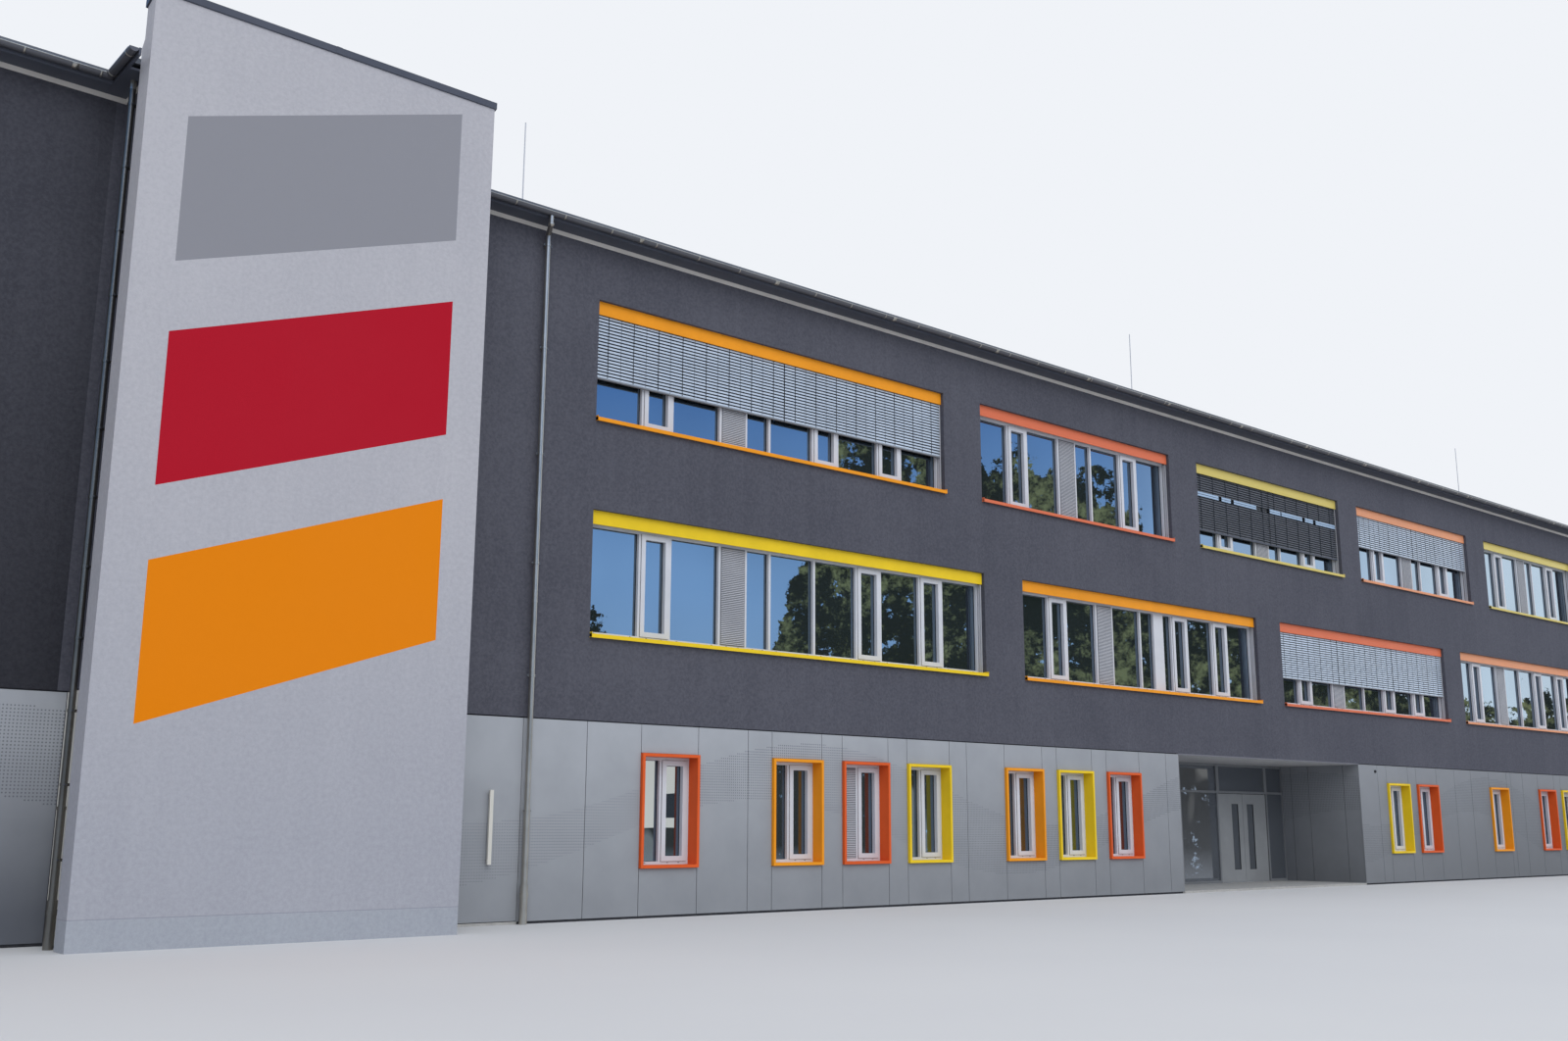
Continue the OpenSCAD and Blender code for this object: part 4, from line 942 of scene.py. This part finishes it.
def clamp_ears():
    """Ears with bolts at both sides of every pipe clamp."""
    collar, reach, half_t, half_h = 24.3 * MM, 15 * MM, 1.5 * MM, 7 * MM
    ears, bolts = [], []
    for points in solids("pipe_clamps"):
        low, high = points.min(0), points.max(0)
        size, middle = high - low, (low + high) / 2
        along = np.array((1.0, 0.0, 0.0) if size[1] > size[0] else (0.0, 1.0, 0.0))
        if along[0]:
            middle[1] = low[1] + collar if middle[1] < MIDDLE_Y else high[1] - collar
        else:
            middle[0] = low[0] + collar
        across = np.array((along[1], along[0], 0.0))
        half = along * reach / 2 + across * half_t + (0.0, 0.0, half_h)
        head = along * 4 * MM + across * 7 * MM + (0.0, 0.0, 4 * MM)
        for side in (-1, 1):
            ear = middle + side * along * (collar + reach / 2 - 2 * MM)
            ears.append((ear - half, ear + half))
            bolts.append((ear - head, ear + head))
    bars("clamp_ears", ears, "zinc")
    bars("clamp_bolts", bolts, "dark_metal")


def coping_joint():
    """A cover strip over the joint in the tower's coping, bent to its fall."""
    over, lip, half_w = 1.5 * MM, 2 * MM, 20 * MM
    low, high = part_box("tower_coping")
    points = np.unique(np.concatenate(solids("tower_coping"))[:, 1:], axis=0)
    front, back = points[points[:, 0] < low.y + 1 * MM], points[points[:, 0] > high.y - 1 * MM]
    outline = [(low.y - over, front[0, 1] + lip), (low.y - over, front[-1, 1] + over),
               (high.y + over, back[-1, 1] + over), (high.y + over, back[0, 1] + lip)]
    middle = (low.x + high.x) / 2
    plate("coping_joint", outline, middle - half_w, middle + half_w, "dark_metal")


def expansion_strip():
    """Cover strip of the expansion joint in the left wing's render."""
    x, bottom, top, half_w = WALL_LO.x + 6.03, 1.545, 5.52, 4 * MM
    bars("expansion_strip", [((x - half_w, FRONT_Y - 1.5 * MM, bottom), (x + half_w, FRONT_Y + 2 * MM, top))],
         "dark_render")


def entrance_parts():
    """Gaskets round the glass slots of the leaves, and the plate under them."""
    gasket_w, deep, shallow, gap, plate_t = 4 * MM, 24 * MM, 1 * MM, 5 * MM, 2.5 * MM
    for hand in ("left", "right"):
        low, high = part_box("leaf_glass_" + hand)
        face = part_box("entrance_leaf_" + hand)[1].y
        boxes = ring(low.x, high.x, low.z, high.z, face - deep, face - shallow, gasket_w)
        bars("slot_gasket_" + hand, boxes, "gasket", "entrance_" + hand + "_leaf")
    left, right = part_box("entrance_leaf_left")[0].x + gap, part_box("entrance_leaf_right")[1].x - gap
    low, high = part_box("entrance_side_frames")
    bars("entrance_sill_plate", [((left, low.y, low.z), (right, high.y, low.z + plate_t))], "light_metal")


def wall_fitting():
    """A small round fitting under the render, right of the entrance."""
    x, z, out, radius = WALL_LO.x + 22.44, 1.452, 12 * MM, 19 * MM
    grow("wall_fitting", RODS, edges_mesh([((x, FRONT_Y, z), (x, FRONT_Y - out, z))]), "gasket",
         Radius=radius, Sides=24)


# Stage

def studio():
    """A pale floor that runs to the horizon, and a soft light."""
    bpy.ops.mesh.primitive_plane_add(size=400.0, location=(0.0, 0.0, 0.0))
    floor = bpy.context.object
    floor.name = "studio_floor"
    paper, tree, shader, place = start_material("studio_paper")
    shade = spread(tree, noise(tree, place, 0.2), 0.3, 0.7)
    tree.links.new(mix(tree, shade, srgb(206, 206, 206), srgb(211, 211, 210)), shader.inputs["Base Color"])
    shader.inputs["Roughness"].default_value = 0.9
    floor.data.materials.append(paper)
    floor.visible_glossy = False

    sun = linked("soft_key", bpy.data.lights.new("soft_key", "SUN"))
    sun.data.energy = 1.05
    sun.data.angle = math.radians(50)
    sun.rotation_euler = (math.radians(48), 0.0, math.radians(-15))


def dome_colour(tree, toward, bearing, lift):
    """The sky: pale low down, bluer above, white to the right, with thin clouds."""
    dome = mix(tree, spread(tree, lift, 2.0, 9.0), srgb(190, 214, 238), srgb(160, 194, 233))
    dome = mix(tree, spread(tree, lift, 9.5, 18.0), dome, srgb(84, 130, 190))
    dome = mix(tree, spread(tree, bearing, 53.0, 65.0, 0.0, 0.9), dome, srgb(250, 254, 255))
    clouds = noise(tree, stretched(tree, toward, 1.0, 1.0, 4.0), 3.0, 5.0, 0.6)
    return mix(tree, spread(tree, clouds, 0.58, 0.8, 0.0, 0.35), dome, srgb(226, 234, 244))


def screened(tree, toward, bearing, lift):
    """How far the dark band with its ragged crowns hides the sky."""
    # Each crown's bearing and top, and how fast it falls off
    crowns = ((33.0, 8.2, 1.0), (45.5, 18.5, 0.45), (49.6, 13.9, 0.12), (52.4, 13.3, 0.7), (57.0, 8.6, 0.12))
    tops = noise(tree, stretched(tree, toward, 1.0, 1.0, 0.2), 4.0, 2.0, 0.5)
    line = times(tree, spread(tree, tops, 0.3, 0.7, 3.0, 9.0), spread(tree, bearing, 62.0, 66.0, 1.0, 0.6))
    for middle, top, fall in crowns:
        off = calc(tree, "SUBTRACT", bearing, middle)
        line = calc(tree, "MAXIMUM", line, calc(tree, "SUBTRACT", top, times(tree, off, off, fall)))
    ragged = noise(tree, toward, 30.0, 7.0, 0.75)
    line = calc(tree, "ADD", line, spread(tree, ragged, 0.3, 0.7, -1.8, 1.4))
    gaps = spread(tree, noise(tree, toward, 70.0, 5.0, 0.8), 0.6, 0.63)
    return times(tree, under(tree, lift, line), calc(tree, "SUBTRACT", 1.0, gaps))


def band_colour(tree, toward, lift):
    """The dark band: mottled green above light and dark fronts, and pale under the horizon."""
    fronts_top = 2.2
    mottled = calc(tree, "ADD", times(tree, noise(tree, toward, 150.0, 4.0, 0.8), 0.6),
                   times(tree, noise(tree, toward, 26.0, 2.0, 0.6), 0.4))
    green = mix(tree, spread(tree, mottled, 0.5, 0.62), srgb(36, 40, 31), srgb(140, 140, 96))
    fronts = noise(tree, stretched(tree, toward, 1.0, 1.0, 0.4), 22.0, 1.0, 0.5)
    low = mix(tree, spread(tree, fronts, 0.58, 0.6), srgb(62, 60, 54), srgb(150, 146, 138))
    low = mix(tree, spread(tree, lift, -2.0, -0.8), srgb(160, 162, 165), low)
    return mix(tree, under(tree, lift, fronts_top), green, low)


def sky():
    """Even light all round. Glossy surfaces see a blue dome over a dark band, as the glass does outdoors."""
    even_strength, glossy_strength = 0.95, 2.0
    world = bpy.data.worlds.new("studio")
    bpy.context.scene.world = world
    world.use_nodes = True
    tree = world.node_tree
    tree.nodes.clear()
    toward = add(tree, "ShaderNodeTexCoord").outputs["Generated"]
    part = axes(tree, toward)
    # Degrees to the right as seen from the front wall, and degrees up
    degrees = 180 / math.pi
    bearing = times(tree, calc(tree, "ARCTAN2", part["X"], times(tree, part["Y"], -1.0)), degrees)
    lift = times(tree, calc(tree, "ARCSINE", part["Z"]), degrees)
    seen = mix(tree, screened(tree, toward, bearing, lift), dome_colour(tree, toward, bearing, lift),
               band_colour(tree, toward, lift))
    # A light front opposite, with a window
    front = times(tree, calc(tree, "COMPARE", bearing, 35.95, 1.2), calc(tree, "COMPARE", lift, 1.7, 1.85))
    window = times(tree, calc(tree, "COMPARE", bearing, 36.45, 0.3), calc(tree, "COMPARE", lift, 0.65, 0.45))
    seen = mix(tree, window, mix(tree, front, seen, srgb(278, 254, 230)), srgb(64, 64, 66))

    def shine(colour, strength):
        """Light of one colour from all round."""
        return add(tree, "ShaderNodeBackground", {"Color": colour, "Strength": strength}).outputs[0]

    rays = add(tree, "ShaderNodeLightPath").outputs
    even, glossy = shine(srgb(236, 240, 248), even_strength), shine(seen, glossy_strength)
    paper = shine(srgb(240, 243, 248), 1.0)
    light = add(tree, "ShaderNodeMixShader", {0: rays["Is Glossy Ray"], 1: even, 2: glossy}).outputs[0]
    light = add(tree, "ShaderNodeMixShader", {0: rays["Is Camera Ray"], 1: light, 2: paper}).outputs[0]
    add(tree, "ShaderNodeOutputWorld", {"Surface": light})


def camera():
    """The photograph's view."""
    eye = linked("camera", bpy.data.cameras.new("camera"))
    eye.data.lens = CAMERA_LENS
    eye.data.clip_end = 500.0
    yaw, pitch, roll = (math.radians(a) for a in (CAMERA_YAW, 90 + CAMERA_PITCH, CAMERA_ROLL))
    turn = Matrix.Rotation(yaw, 4, "Z") @ Matrix.Rotation(pitch, 4, "X") @ Matrix.Rotation(roll, 4, "Z")
    eye.matrix_world = Matrix.Translation(CAMERA_PLACE) @ turn
    bpy.context.scene.camera = eye
    bpy.context.scene.view_settings.view_transform = "Standard"


camera()
sky()
studio()
dress_nodes()
window_gaskets()
sash_seals()
drain_caps()
blind_guides()
louvre_slats()
blinds()
sill_ends()
gutter_parts()
roof_seams()
pipe_sleeves()
clamp_ears()
coping_joint()
expansion_strip()
entrance_parts()
wall_fitting()
